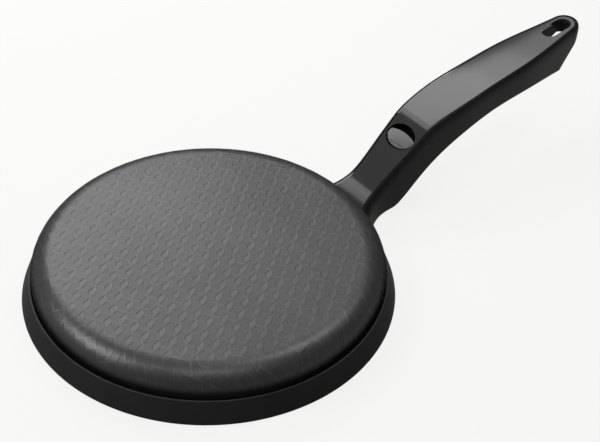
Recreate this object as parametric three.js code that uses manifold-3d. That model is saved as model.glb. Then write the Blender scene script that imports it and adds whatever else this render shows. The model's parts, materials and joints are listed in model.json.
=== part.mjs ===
// Electric crepe pan: a domed cooking plate on a moulded ring, and a handle that holds its switch.
// Millimetres, +Z up. The origin is on the pan's axis, in the plane that the pan stands on.
// The handle runs along +X.

import * as THREE from 'three';
import { mergeVertices } from 'three/addons/utils/BufferGeometryUtils.js';
import Module from 'manifold-3d';

const wasm = await Module();
wasm.setup();

// Clearances
const SEAT_GAP = 0.1; // between flat faces that rest on each other
const CLEARANCE = 0.3; // round a piece that slips into another
const THREAD_GAP = 0.25; // round a screw in its hole
const REACH_PAST = 1; // how far a cut goes beyond the face that it opens

// Housing ring
const RING_BASE_RADIUS = 110;
const RING_TAPER = 5.15;
const RING_HEIGHT = 13.8;
const RING_WALL = 2.4;
const RING_LAND = 0.9;
const RING_EDGE = 0.5;
const LEDGE_TOP = 9;
const LEDGE_THICKNESS = 2;
const LEDGE_WIDTH = 7;

// Cooking plate and its seal
const PLATE_GAP = 0.35;
const PLATE_TOP = 30.2;
const PLATE_CROWN = 0.6;
const PLATE_SHOULDER = 14;
const PLATE_WALL = 2.5;
const PLATE_THICKNESS = 3;
const SEAL_THICKNESS = 1.2;
const SEAL_WIDTH = 4.4;

// Bottom cover and insulation
const COVER_THICKNESS = 2;
const COVER_BEAD_RADIUS = 72;
const COVER_BEAD_WIDTH = 5;
const COVER_BEAD_DEPTH = 0.9;
const INSULATION_INSET = 18;
const INSULATION_THICKNESS = 4;

// Screws
const SCREW_RADIUS = 1.5;
const SCREW_HEAD_RADIUS = 2.8;
const SCREW_HEAD_HEIGHT = 1.9;
const BOSS_WALL = 2;
const COVER_SCREW_INSET = 8;
const COVER_SCREW_COUNT = 4;
const COVER_SCREW_LENGTH = 8;
const PLATE_SCREW_INSET = 11;
const PLATE_SCREW_ANGLE = 22.5;
const PLATE_SCREW_GRIP = 9;
const BOSS_SINK = 0.4;
const SHORT_SCREW_GRIP = 2.8;
const SMALL_BOSS_HEIGHT = 3.9;

// Heating element and its clamp: insets are from the ring's lip
const ELEMENT_INSET = 42;
const ELEMENT_TUBE_RADIUS = 3.3;
const ELEMENT_END_INSET = 20;
const ELEMENT_END_Y = 8.5;
const ELEMENT_GAP_ANGLE = 17;
const ELEMENT_LEAD = 7;
const ELEMENT_BEND = 7.5;
const CLAMP_SHEET = 1.2;
const CLAMP_FLANGE = 9;
const CLAMP_GAP = 0.7;
const CLAMP_SCREW_COUNT = 3;
const CLAMP_MOUTH_MARGIN = 6;

// Thermostat, thermal fuse and earth point
const THERMOSTAT_RADIUS = 8.5;
const THERMOSTAT_HEIGHT = 9.6;
const THERMOSTAT_SCREW_REACH = 13.5;
const THERMOSTAT_FLANGE_HALF = 5.5;
const TAB_SPACING = 4;
const TAB_REACH = 9.6;
const TAB_WIDTH = 4.8;
const TAB_THICKNESS = 0.8;
const TAB_DROP = 2.8;
const FUSE_RADIUS = 2.4;
const FUSE_LENGTH = 22;
const EARTH_INSET = 26;
const EARTH_BOSS_HEIGHT = 6.2;
const EARTH_TAG_REACH = 8;

// Handle, side view: reaches are from the ring's foot, setbacks from the tip
const HANDLE_LENGTH = 192;
const ROOT_UNDERSIDE = 1;
const ROOT_LENGTH = 30;
const ROOT_CORNER = 7;
const ROOT_CORNER_RISE = 3.1;
const ROOT_LAP = 12;
const ROOT_SOLID = 8;
const WIRE_WELL = 5;
const SWITCH_REACH = 39;
const SWITCH_HEIGHT = 42.2;
const SWITCH_SLOPE = 37;
const SWITCH_FLAT = 20;
const NECK_ANGLE = 27;
const NECK_SINK = 0.4;
const TIP_TOP = 70.6;
const TIP_ANGLE = 7.6;
const RISE_ANGLE = 34;
const HEEL_SETBACK = 21.4;
const HEEL_HEIGHT = 41.6;
const HEEL_ANGLE = -6;
const TIP_FACE = 7.4;

// How long each side line keeps the direction of its two ends, as shares of its own run
const NECK_PULL = 0.5;
const FLAT_PULL = 0.8;
const BEND_PULL = 0.16;
const TIP_PULL = 0.28;
const RISE_PULL = 0.14;
const HEEL_PULL = 0.76;

// Handle, plan and section
const NECK_REACH = 15;
const NECK_HALF = 12.8;
const SWITCH_HALF = 15.2;
const GRIP_REACH = 75;
const GRIP_HALF = 17.4;
const PALM_REACH = 105;
const PALM_HALF = 16.9;
const WAIST_SETBACK = 52;
const WAIST_HALF = 15.7;
const END_HALF = 10.5;
const TOP_FLARE = 5.2;
const TOP_FLARE_RUN = 8;
const FOOT_FLARE = 15.5;
const FOOT_FLARE_RUN = 11;
const HANDLE_DRAFT = 0.5;
const HANDLE_WALL = 2.6;
const EDGE_ROUND = 2.8;
const EDGE_DROP = 8;
const LOWER_ROUND = 2.5;
const HOLLOW_ROUND = 1;
const RIM_WIDTH = 2.8;
const COVER_PLATE = 2.2;
const COVER_CROWN = 0.1;
const HANDLE_SCREW_SPREAD = 11;
const HANDLE_SCREW_LENGTH = 12;
const HANDLE_SCREW_HEAD_RADIUS = 2.2;
const GRIP_SCREW_REACH = 82;
const GRIP_SCREW_SETBACK = 54;
const GRIP_SCREW_RECESS = 8;
const GRIP_SCREW_LENGTH = 12;

// Hanging hole
const HOLE_SETBACK = 17.5;
const HOLE_LENGTH = 23;
const HOLE_WIDTH = 10.8;
const HOLE_COLLAR = 9;
const POCKET_START = 3;
const POCKET_WALL = 1.7;

// Rocker and switch, in the frame of the sloping flat: X up the slope, Z out of it
const OPENING_HALF_LENGTH = 8.25;
const OPENING_HALF_WIDTH = 11;
const ROCKER_GAP = 0.5;
const ROCKER_TILT = 7;
const ROCKER_PIVOT_DEPTH = 3;
const ROCKER_SKIRT = 6.5;
const ROCKER_PIN_RADIUS = 1.2;
const ROCKER_SINK = 0.7;
const PAD_ARC_RADIUS = 26;
const PAD_ARC_REACH = 3.6;
const PAD_HOLLOW = 4.2;
const SWITCH_WALL = 1.2;
const SWITCH_DEPTH = 10.6;
const SWITCH_POCKET = 7.6;
const TERMINAL_LENGTH = 6;
const TERMINAL_PLACES = { switch_terminal_in: -2.6, switch_terminal_out: -8.2 };

// Power coupler
const COUPLER_REACH = 11;
const COUPLER_LENGTH = 11;
const COUPLER_HALF = 7.6;
const COUPLER_HEIGHT = 10;
const COUPLER_FLANGE = 1;
const CONTACT_PITCH = 5;
const CONTACT_WIDTH = 6;
const CONTACT_THICKNESS = 0.8;
const CONTACT_SLOT = 2.4;
const CONTACT_TAIL = 2;

// Wires
const WIRE_RADIUS = 1.1;
const WINDOW_HALF = 6.5;
const WIRE_PITCH = 4;

// Facets
const ROUND_SIDES = 60;
const PART_SIDES = 36;
const SMALL_SIDES = 10;
const SCREW_SIDES = 8;
const WIRE_SIDES = 6;
const CORNER_STEPS = 4;
const SHOULDER_STEPS = 7;
const UNDERSIDE_STEPS = 3;
const CROWN_STEPS = 2;
const ELEMENT_ARC_POINTS = 16;
const ELEMENT_STEPS = 42;
const ELEMENT_SIDES = 8;
const LINE_STEPS = 96;

const radians = THREE.MathUtils.degToRad;

// Closed triangle mesh to solid and back
function solidOf(geometry) {
  const bare = geometry.clone();
  bare.deleteAttribute('normal');
  bare.deleteAttribute('uv');
  const welded = mergeVertices(bare, 1e-4);
  const corners = welded.index.array;
  const kept = [];
  for (let i = 0; i < corners.length; i += 3) {
    const [a, b, c] = corners.slice(i, i + 3);
    if (a !== b && b !== c && c !== a) kept.push(a, b, c);
  }
  const vertProperties = Float32Array.from(welded.attributes.position.array);
  return new wasm.Manifold(new wasm.Mesh({ numProp: 3, vertProperties, triVerts: Uint32Array.from(kept) }));
}

function geometryOf(solid) {
  const { vertProperties, triVerts } = solid.getMesh();
  const geometry = new THREE.BufferGeometry();
  geometry.setAttribute('position', new THREE.BufferAttribute(vertProperties, 3));
  geometry.setIndex(new THREE.BufferAttribute(triVerts, 1));
  geometry.computeVertexNormals();
  return geometry;
}

const join = (first, ...others) => others.reduce((sum, piece) => sum.add(piece), first);
const cut = (first, ...tools) => tools.reduce((rest, tool) => rest.subtract(tool), first);

// Simple solids
function turned(profile, sides) {
  const points = profile.map(([r, z]) => new THREE.Vector2(r, z));
  return new THREE.LatheGeometry(points, sides).rotateX(Math.PI / 2);
}

const revolve = (profile, sides = ROUND_SIDES) => solidOf(turned(profile, sides));

const closed = (profile) => [...profile, profile[0]];

function box(x0, x1, y0, y1, z0, z1) {
  const geometry = new THREE.BoxGeometry(x1 - x0, y1 - y0, z1 - z0);
  return geometry.translate((x0 + x1) / 2, (y0 + y1) / 2, (z0 + z1) / 2);
}

const block = (...limits) => solidOf(box(...limits));

function upright(radius, x, y, z0, z1, sides = SMALL_SIDES) {
  const geometry = new THREE.CylinderGeometry(radius, radius, z1 - z0, sides).rotateX(Math.PI / 2);
  return solidOf(geometry.translate(x, y, (z0 + z1) / 2));
}

function lengthwise(radius, y, z, x0, x1, sides = SMALL_SIDES) {
  const geometry = new THREE.CylinderGeometry(radius, radius, x1 - x0, sides).rotateZ(Math.PI / 2);
  return solidOf(geometry.translate((x0 + x1) / 2, y, z));
}

function extruded(shape, z0, z1) {
  const options = { depth: z1 - z0, bevelEnabled: false, curveSegments: SMALL_SIDES };
  return new THREE.ExtrudeGeometry(shape, options).translate(0, 0, z0);
}

const prism = (shape, z0, z1) => solidOf(extruded(shape, z0, z1));

function tube(points, radius, steps, sides) {
  const section = new THREE.Shape();
  for (let i = 0; i < sides; i += 1) {
    const turn = (2 * Math.PI * i) / sides;
    const corner = [radius * Math.cos(turn), radius * Math.sin(turn)];
    if (i === 0) section.moveTo(...corner);
    else section.lineTo(...corner);
  }
  const extrudePath = new THREE.CatmullRomCurve3(points.map((point) => new THREE.Vector3(...point)));
  return solidOf(new THREE.ExtrudeGeometry(section, { steps, extrudePath, curveSegments: 1 }));
}

function slot(x, length, width) {
  const half = width / 2;
  const run = length / 2 - half;
  const shape = new THREE.Shape();
  shape.absarc(x + run, 0, half, -Math.PI / 2, Math.PI / 2, false);
  shape.absarc(x - run, 0, half, Math.PI / 2, 1.5 * Math.PI, false);
  return shape;
}

const ellipse = (halfLength, halfAcross) =>
  new THREE.Shape().absellipse(0, 0, halfLength, halfAcross, 0, 2 * Math.PI);

// Skins rings of points, each seen counter-clockwise from the far end, into one closed solid
function loft(rings) {
  const count = rings[0].length;
  const positions = rings.flat(2);
  const index = [];
  for (let k = 0; k + 1 < rings.length; k += 1) {
    for (let i = 0; i < count; i += 1) {
      const a = k * count + i;
      const b = k * count + ((i + 1) % count);
      index.push(a, b, a + count, b, b + count, a + count);
    }
  }
  const far = (rings.length - 1) * count;
  for (let i = 1; i + 1 < count; i += 1) {
    index.push(0, i + 1, i);
    index.push(far, far + i, far + i + 1);
  }
  const geometry = new THREE.BufferGeometry();
  geometry.setAttribute('position', new THREE.Float32BufferAttribute(positions, 3));
  geometry.setIndex(index);
  return solidOf(geometry);
}

// Materials
const finish = (color, roughness, metalness) => ({ color, roughness, metalness });
const COATED_ALUMINIUM = finish(0x4a4b4d, 0.42, 0.3);
const BLACK_PLASTIC = finish(0x1b1b1c, 0.38, 0);
const INLAY_PLASTIC = finish(0x242425, 0.3, 0);
const GREY_PLASTIC = finish(0x3a3a3c, 0.35, 0);
const STEEL = finish(0xb4b6b8, 0.35, 1);
const BRASS = finish(0xb99a55, 0.35, 1);
const SILICONE = finish(0x2a2a2b, 0.7, 0);
const FELT = finish(0xd9d2bf, 0.95, 0);
const CERAMIC = finish(0xe3e0d6, 0.6, 0);
const BROWN_WIRE = finish(0x5b3a24, 0.6, 0);
const BLUE_WIRE = finish(0x27509a, 0.6, 0);
const GREEN_WIRE = finish(0x4f8a3a, 0.6, 0);

const pan = new THREE.Group();

function addPiece(name, solid, material, parent = pan) {
  const mesh = new THREE.Mesh(geometryOf(solid), new THREE.MeshStandardMaterial(material));
  mesh.name = name;
  parent.add(mesh);
  return mesh;
}

// Levels and radii that follow from the sizes above
const ringTopRadius = RING_BASE_RADIUS - RING_TAPER;
const ringRadius = (z) => RING_BASE_RADIUS - (RING_TAPER * z) / RING_HEIGHT;
const lipRadius = ringTopRadius - RING_LAND;
const ledgeRadius = lipRadius - LEDGE_WIDTH;
const ledgeUnderside = LEDGE_TOP - LEDGE_THICKNESS;
const plateRadius = lipRadius - PLATE_GAP;
const plateRim = LEDGE_TOP + SEAL_THICKNESS + 2 * SEAT_GAP;
const plateUnderside = PLATE_TOP - PLATE_THICKNESS;
const elementRadius = lipRadius - ELEMENT_INSET;
const elementEndX = lipRadius - ELEMENT_END_INSET;
const earthX = lipRadius - EARTH_INSET;
const screwHole = SCREW_RADIUS + THREAD_GAP;
const bossRadius = screwHole + BOSS_WALL;
const coverRadius = ringRadius(COVER_THICKNESS) - RING_WALL - CLEARANCE;
const onCircle = (radius, degrees) =>
  [radius * Math.cos(radians(degrees)), radius * Math.sin(radians(degrees))];

const coverScrewCircle = lipRadius - COVER_SCREW_INSET;
const coverScrewPlaces = Array.from({ length: COVER_SCREW_COUNT }, (_, i) =>
  onCircle(coverScrewCircle, (360 * (i + 0.5)) / COVER_SCREW_COUNT));
const plateScrewAngles = [PLATE_SCREW_ANGLE, 180 - PLATE_SCREW_ANGLE];
const plateScrewPlaces = [1, -1].flatMap((side) =>
  plateScrewAngles.map((angle) => onCircle(lipRadius - PLATE_SCREW_INSET, side * angle)));
const clampScrewCircle = elementRadius + ELEMENT_TUBE_RADIUS + CLAMP_GAP + CLAMP_SHEET + CLAMP_FLANGE / 2;
const clampScrewPlaces = Array.from({ length: CLAMP_SCREW_COUNT }, (_, i) =>
  onCircle(clampScrewCircle, (360 * (i + 0.5)) / CLAMP_SCREW_COUNT));
const thermostatScrewPlaces = [[0, THERMOSTAT_SCREW_REACH], [0, -THERMOSTAT_SCREW_REACH]];
const smallBossEnd = plateUnderside - SMALL_BOSS_HEIGHT;
const earthBossEnd = plateUnderside - EARTH_BOSS_HEIGHT;
const handleScrewZ = (COVER_THICKNESS + ledgeUnderside) / 2;
const handleScrewPlaces = [HANDLE_SCREW_SPREAD, -HANDLE_SCREW_SPREAD];
const padFace = lipRadius;

// Cooking plate: a shallow dish upside down, with screw bosses under its top
function cookingPlate() {
  const shoulder = (radius, centreZ, steps) => {
    const arc = new THREE.EllipseCurve(plateRadius - PLATE_SHOULDER, centreZ, radius, radius, 0, Math.PI / 2);
    return arc.getPoints(steps).map((point) => [point.x, point.y]);
  };
  const centreZ = PLATE_TOP - PLATE_SHOULDER;
  const outside = shoulder(PLATE_SHOULDER, centreZ, SHOULDER_STEPS);
  const innerCentreZ = centreZ - (PLATE_THICKNESS - PLATE_WALL);
  const inside = shoulder(PLATE_SHOULDER - PLATE_WALL, innerCentreZ, UNDERSIDE_STEPS);
  const flatRadius = plateRadius - PLATE_SHOULDER;
  const crown = [0.7, 0.4].map((share) => [flatRadius * share, PLATE_TOP + PLATE_CROWN * (1 - share ** 2)]);
  const dish = revolve([
    [0, plateUnderside],
    ...inside.toReversed(),
    [plateRadius - PLATE_WALL, plateRim],
    [plateRadius, plateRim],
    ...outside,
    ...crown,
    [0, PLATE_TOP + PLATE_CROWN],
  ]);
  const root = plateUnderside + BOSS_SINK;
  const boss = ([x, y], end) => upright(bossRadius, x, y, end, root);
  const holeTop = plateUnderside - SEAT_GAP;
  const hole = ([x, y], end) => upright(screwHole, x, y, end - REACH_PAST, holeTop, SCREW_SIDES);
  const small = [...clampScrewPlaces, ...thermostatScrewPlaces];
  const bosses = [
    ...plateScrewPlaces.map((place) => boss(place, LEDGE_TOP + SEAT_GAP)),
    ...small.map((place) => boss(place, smallBossEnd)),
    boss([earthX, 0], earthBossEnd),
  ];
  const holes = [
    ...plateScrewPlaces.map((place) => hole(place, LEDGE_TOP)),
    ...small.map((place) => hole(place, smallBossEnd)),
    hole([earthX, 0], earthBossEnd),
  ];
  return cut(join(dish, ...bosses), ...holes);
}

// Housing ring: the sloping skirt, the ledge that carries the plate, and the screw bosses
function housingRing() {
  const skirt = revolve(closed([
    [RING_BASE_RADIUS - RING_WALL, 0],
    [RING_BASE_RADIUS - RING_EDGE, 0],
    [ringRadius(RING_EDGE), RING_EDGE],
    [ringRadius(RING_HEIGHT - RING_EDGE), RING_HEIGHT - RING_EDGE],
    [ringTopRadius - RING_EDGE / 2, RING_HEIGHT],
    [lipRadius, RING_HEIGHT],
    [lipRadius, LEDGE_TOP],
    [ledgeRadius, LEDGE_TOP],
    [ledgeRadius, ledgeUnderside],
    [ringRadius(ledgeUnderside) - RING_WALL, ledgeUnderside],
  ]));
  const coverSeat = COVER_THICKNESS + SEAT_GAP;
  const coverBosses = coverScrewPlaces.map(([x, y]) => upright(bossRadius, x, y, coverSeat, LEDGE_TOP));
  const lugs = plateScrewPlaces.map(([x, y]) =>
    upright(bossRadius + BOSS_WALL, x, y, ledgeUnderside, LEDGE_TOP));
  const padHalf = HANDLE_SCREW_HEAD_RADIUS + CLEARANCE;
  const padDepth = RING_WALL / 2;
  const padTop = ledgeUnderside + LEDGE_THICKNESS / 2;
  const pads = handleScrewPlaces.map((y) =>
    block(padFace, padFace + padDepth, y - padHalf, y + padHalf, coverSeat, padTop));
  const coverHoles = coverScrewPlaces.map(([x, y]) =>
    upright(screwHole, x, y, 0, COVER_SCREW_LENGTH + SEAT_GAP * 2, SCREW_SIDES));
  const plateHoles = plateScrewPlaces.map(([x, y]) => upright(screwHole, x, y, 0, RING_HEIGHT, SCREW_SIDES));
  const throughWall = RING_BASE_RADIUS + REACH_PAST;
  const handleHoles = handleScrewPlaces.map((y) =>
    lengthwise(screwHole, y, handleScrewZ, ledgeRadius, throughWall, SCREW_SIDES));
  const window = block(ledgeRadius, throughWall, -WINDOW_HALF, WINDOW_HALF, coverSeat, ledgeUnderside);
  const body = join(skirt, ...coverBosses, ...lugs, ...pads);
  return cut(body, ...coverHoles, ...plateHoles, ...handleHoles, window);
}

// Flat silicone ring between the plate's rim and the ledge
function plateSeal() {
  const low = LEDGE_TOP + SEAT_GAP;
  const high = low + SEAL_THICKNESS;
  const outer = plateRadius;
  const inner = outer - SEAL_WIDTH;
  return revolve(closed([[inner, low], [outer, low], [outer, high], [inner, high]]), PART_SIDES);
}

// Bottom cover: a disc with a pressed stiffening groove and countersunk holes
function bottomCover() {
  const beadIn = COVER_BEAD_RADIUS - COVER_BEAD_WIDTH / 2;
  const beadOut = COVER_BEAD_RADIUS + COVER_BEAD_WIDTH / 2;
  const disc = revolve([
    [0, 0],
    [beadIn, 0],
    [beadIn + COVER_BEAD_DEPTH, COVER_BEAD_DEPTH],
    [beadOut - COVER_BEAD_DEPTH, COVER_BEAD_DEPTH],
    [beadOut, 0],
    [coverRadius, 0],
    [coverRadius, COVER_THICKNESS],
    [0, COVER_THICKNESS],
  ]);
  const sink = countersunk(THREAD_GAP, 2 * COVER_THICKNESS);
  const sinks = coverScrewPlaces.map(([x, y]) => solidOf(sink.clone().translate(x, y, 0)));
  return cut(disc, ...sinks);
}

// Screws stand with the head down: a pan head below z = 0, or a countersunk head above it
function panHead(length, headRadius = SCREW_HEAD_RADIUS) {
  return revolve([
    [0, -SCREW_HEAD_HEIGHT],
    [headRadius - SCREW_HEAD_HEIGHT / 4, -SCREW_HEAD_HEIGHT],
    [headRadius, -SCREW_HEAD_HEIGHT / 2],
    [headRadius, -SEAT_GAP],
    [SCREW_RADIUS, -SEAT_GAP],
    [SCREW_RADIUS, length],
    [0, length],
  ], SCREW_SIDES);
}

function countersunk(gap, length) {
  const headDepth = SCREW_HEAD_RADIUS - SCREW_RADIUS;
  return turned([
    [0, 0],
    [SCREW_HEAD_RADIUS + gap, 0],
    [SCREW_RADIUS + gap, headDepth],
    [SCREW_RADIUS + gap, length],
    [0, length],
  ], SCREW_SIDES);
}

// Tubular element: most of a circle, with both ends led out towards the handle
const elementZ = plateUnderside - CLEARANCE - ELEMENT_TUBE_RADIUS;

function heatingElement() {
  const ends = [
    [elementEndX, ELEMENT_END_Y, elementZ],
    [elementEndX - ELEMENT_LEAD, ELEMENT_END_Y, elementZ],
    [elementRadius + ELEMENT_BEND, ELEMENT_END_Y + ELEMENT_TUBE_RADIUS / 2, elementZ],
  ];
  const sweep = (360 - 2 * ELEMENT_GAP_ANGLE) / ELEMENT_ARC_POINTS;
  const arc = Array.from({ length: ELEMENT_ARC_POINTS + 1 }, (_, i) =>
    [...onCircle(elementRadius, ELEMENT_GAP_ANGLE + sweep * i), elementZ]);
  const back = ends.map(([x, y, z]) => [x, -y, z]).toReversed();
  return tube([...ends, ...arc, ...back], ELEMENT_TUBE_RADIUS, ELEMENT_STEPS, ELEMENT_SIDES);
}

// Clamp: a pressed hat section round the element, open where the element's ends leave
const clampTop = smallBossEnd - SEAT_GAP;

function elementClamp() {
  const inner = elementRadius - ELEMENT_TUBE_RADIUS - CLAMP_GAP;
  const outer = elementRadius + ELEMENT_TUBE_RADIUS + CLAMP_GAP;
  const floor = elementZ - ELEMENT_TUBE_RADIUS - CLEARANCE;
  const hat = revolve(closed([
    [inner - CLAMP_SHEET - CLAMP_FLANGE, clampTop - CLAMP_SHEET],
    [inner - CLAMP_SHEET, clampTop - CLAMP_SHEET],
    [inner - CLAMP_SHEET, floor - CLAMP_SHEET],
    [outer + CLAMP_SHEET, floor - CLAMP_SHEET],
    [outer + CLAMP_SHEET, clampTop - CLAMP_SHEET],
    [outer + CLAMP_SHEET + CLAMP_FLANGE, clampTop - CLAMP_SHEET],
    [outer + CLAMP_SHEET + CLAMP_FLANGE, clampTop],
    [outer, clampTop],
    [outer, floor],
    [inner, floor],
    [inner, clampTop],
    [inner - CLAMP_SHEET - CLAMP_FLANGE, clampTop],
  ]), PART_SIDES);
  const mouthHalf = elementRadius * Math.sin(radians(ELEMENT_GAP_ANGLE)) + CLAMP_MOUTH_MARGIN;
  const mouth = block(0, 2 * elementRadius, -mouthHalf, mouthHalf, 0, PLATE_TOP);
  const holes = clampScrewPlaces.map(([x, y]) => upright(screwHole, x, y, 0, PLATE_TOP, SCREW_SIDES));
  return cut(hat, mouth, ...holes);
}

// Thermostat: a disc pressed to the plate by a flange, with two tabs underneath
const thermostatLow = plateUnderside - CLEARANCE - THERMOSTAT_HEIGHT;
const tabZ = thermostatLow - TAB_DROP;

function thermostat() {
  const body = upright(THERMOSTAT_RADIUS, 0, 0, thermostatLow, plateUnderside - CLEARANCE, PART_SIDES / 2);
  const flangeReach = THERMOSTAT_SCREW_REACH + bossRadius;
  const flange = block(-THERMOSTAT_FLANGE_HALF, THERMOSTAT_FLANGE_HALF, -flangeReach, flangeReach,
    clampTop - CLAMP_SHEET, clampTop);
  const holes = thermostatScrewPlaces.map(([x, y]) => upright(screwHole, x, y, 0, PLATE_TOP, SCREW_SIDES));
  const tabs = [TAB_SPACING, -TAB_SPACING].flatMap((y) => {
    const [y0, y1] = [y - TAB_WIDTH / 2, y + TAB_WIDTH / 2];
    return [
      block(0, TAB_REACH, y0, y1, tabZ - TAB_THICKNESS / 2, tabZ + TAB_THICKNESS / 2),
      block(0, TAB_THICKNESS, y0, y1, tabZ - TAB_THICKNESS / 2, thermostatLow + REACH_PAST),
    ];
  });
  return cut(join(body, flange, ...tabs), ...holes);
}

function thermalFuse() {
  const start = TAB_REACH + CLEARANCE;
  return lengthwise(FUSE_RADIUS, TAB_SPACING, tabZ, start, start + FUSE_LENGTH);
}

const insulationLow = COVER_THICKNESS + CLEARANCE;
const insulationTop = insulationLow + INSULATION_THICKNESS;
const insulationRadius = lipRadius - INSULATION_INSET;
const insulationPad = () => upright(insulationRadius, 0, 0, insulationLow, insulationTop, PART_SIDES);

// Earth tag: a ring under the plate's boss, with a tail for the wire
const earthTagTop = earthBossEnd - SEAT_GAP;
const earthTagEnd = earthX + EARTH_TAG_REACH;

function earthTag() {
  const low = earthTagTop - TAB_THICKNESS;
  const ring = upright(bossRadius, earthX, 0, low, earthTagTop);
  const tail = block(earthX, earthTagEnd, -TAB_WIDTH / 2, TAB_WIDTH / 2, low, earthTagTop);
  const hole = upright(screwHole, earthX, 0, low - REACH_PAST, earthTagTop + REACH_PAST, SCREW_SIDES);
  return cut(join(ring, tail), hole);
}

// Side lines of the handle, as curves in X and Z
const footX = RING_BASE_RADIUS;
const ringTopX = ringTopRadius;
const tipX = footX + HANDLE_LENGTH;
const switchX = footX + SWITCH_REACH;
const rootX = footX + ROOT_LENGTH;
const heelX = tipX - HEEL_SETBACK;
const holeX = tipX - HOLE_SETBACK;
const endX = tipX - END_HALF;
const at = (x, z) => new THREE.Vector2(x, z);

function sweepLine(start, startAngle, startPull, end, endAngle, endPull) {
  const heading = (degrees) => at(Math.cos(radians(degrees)), Math.sin(radians(degrees)));
  const leave = start.clone().addScaledVector(heading(startAngle), startPull);
  const arrive = end.clone().addScaledVector(heading(endAngle), -endPull);
  return new THREE.CubicBezierCurve(start, leave, arrive, end);
}

function sideLine(...curves) {
  const points = curves.flatMap((curve) => curve.getPoints(LINE_STEPS));
  return (x) => {
    const next = Math.max(1, points.findIndex((point) => point.x >= x));
    const [a, b] = [points[next - 1], points[next]];
    const share = b.x === a.x ? 0 : (x - a.x) / (b.x - a.x);
    return a.y + (b.y - a.y) * THREE.MathUtils.clamp(share, 0, 1);
  };
}

const slopeRun = at(Math.cos(radians(SWITCH_SLOPE)), Math.sin(radians(SWITCH_SLOPE)));
const flatMiddle = at(switchX, SWITCH_HEIGHT);
const flatStart = flatMiddle.clone().addScaledVector(slopeRun, -SWITCH_FLAT / 2);
const flatEnd = flatMiddle.clone().addScaledVector(slopeRun, SWITCH_FLAT / 2);
const neckStart = at(ringTopX - REACH_PAST, RING_HEIGHT - NECK_SINK);
const neckRun = flatStart.distanceTo(neckStart);
const gripRun = tipX - flatEnd.x;
const topLine = sideLine(
  sweepLine(neckStart, NECK_ANGLE, neckRun * NECK_PULL, flatStart, SWITCH_SLOPE, neckRun * FLAT_PULL),
  new THREE.LineCurve(flatStart, flatEnd),
  sweepLine(flatEnd, SWITCH_SLOPE, gripRun * BEND_PULL, at(tipX, TIP_TOP), TIP_ANGLE, gripRun * TIP_PULL),
);

const cornerEnd = at(rootX, ROOT_UNDERSIDE + ROOT_CORNER_RISE);
const heel = at(heelX, HEEL_HEIGHT);
const lowerRun = heelX - rootX;
const lowerLine = sideLine(
  new THREE.LineCurve(at(0, ROOT_UNDERSIDE), at(rootX - ROOT_CORNER, ROOT_UNDERSIDE)),
  new THREE.QuadraticBezierCurve(
    at(rootX - ROOT_CORNER, ROOT_UNDERSIDE), at(rootX - ROOT_CORNER / 2, ROOT_UNDERSIDE), cornerEnd),
  sweepLine(cornerEnd, RISE_ANGLE, lowerRun * RISE_PULL, heel, HEEL_ANGLE, lowerRun * HEEL_PULL),
  new THREE.LineCurve(heel, at(tipX, TIP_TOP - TIP_FACE)),
);

const widthLine = sideLine(new THREE.SplineCurve([
  at(footX, NECK_HALF),
  at(footX + NECK_REACH, NECK_HALF),
  at(switchX, SWITCH_HALF),
  at(footX + GRIP_REACH, GRIP_HALF),
  at(footX + PALM_REACH, PALM_HALF),
  at(tipX - WAIST_SETBACK, WAIST_HALF),
  at(endX, END_HALF),
]));

// The root spreads towards the ring like a fillet, further at its foot than at its top
const flare = (x, amount, run) => amount * Math.exp((ringTopX - x) / run);

// Half width of the handle's top at x, drawn in by an inset, with a round end
function halfWidth(x, inset) {
  if (x <= endX) return widthLine(x) + flare(x, TOP_FLARE, TOP_FLARE_RUN) - inset;
  const radius = END_HALF - inset;
  return Math.sqrt(Math.max(0, radius ** 2 - (x - endX) ** 2));
}

function lowHalfWidth(x) {
  if (x <= endX) return widthLine(x) + flare(x, FOOT_FLARE, FOOT_FLARE_RUN) - HANDLE_DRAFT;
  return halfWidth(x, 0) * (1 - HANDLE_DRAFT / END_HALF);
}

// One section: a tapered box in Y and Z with rounded corners. The top corners may reach further down the
// sides than across.
function section(x, halfTop, halfLow, top, low, roundTop, roundLow, drop = roundTop) {
  const corners = [at(halfTop, top), at(-halfTop, top), at(-halfLow, low), at(halfLow, low)];
  const most = 0.98 * Math.min(halfTop, halfLow, (top - low) / 2);
  return corners.flatMap((corner, i) => {
    const round = i < 2 ? roundTop : roundLow;
    if (round === 0) return [[x, corner.x, corner.y]];
    const towards = (other, reach) =>
      corner.clone().lerp(other, Math.min(reach, most) / corner.distanceTo(other));
    const start = towards(corners[(i + 3) % 4], i === 0 ? drop : round);
    const end = towards(corners[(i + 1) % 4], i === 1 ? drop : round);
    const arc = new THREE.QuadraticBezierCurve(start, corner, end);
    return arc.getPoints(CORNER_STEPS).map((point) => [x, point.x, point.y]);
  });
}

// Places along the handle where sections are taken: closer where the shape turns
const spread = (from, to, count) => Array.from({ length: count }, (_, i) => from + ((to - from) * i) / count);
const rootCornerX = rootX - ROOT_CORNER;
const gripX = footX + GRIP_REACH;
const stationMarks = [
  ...spread(footX - ROOT_LAP, rootCornerX, 9),
  ...spread(rootCornerX, rootX, 3),
  ...spread(rootX, gripX, 7),
  ...spread(gripX, heelX, 8),
  ...spread(heelX, endX, 2),
  ...spread(0, Math.PI / 2, 7).map((turn) => endX + END_HALF * Math.sin(turn)),
];

function stations(start, end) {
  return [start, ...stationMarks.filter((x) => x > start + CLEARANCE && x < end - CLEARANCE), end];
}

function outerSection(x) {
  const fall = Math.max(0, (x - (tipX - EDGE_ROUND)) / EDGE_ROUND);
  const top = topLine(x) - EDGE_ROUND * (1 - Math.sqrt(1 - Math.min(1, fall) ** 2));
  const halfTop = Math.max(SEAT_GAP, halfWidth(x, 0));
  const halfLow = Math.max(SEAT_GAP, lowHalfWidth(x));
  return section(x, halfTop, halfLow, top, lowerLine(x), EDGE_ROUND, LOWER_ROUND, EDGE_DROP);
}

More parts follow.
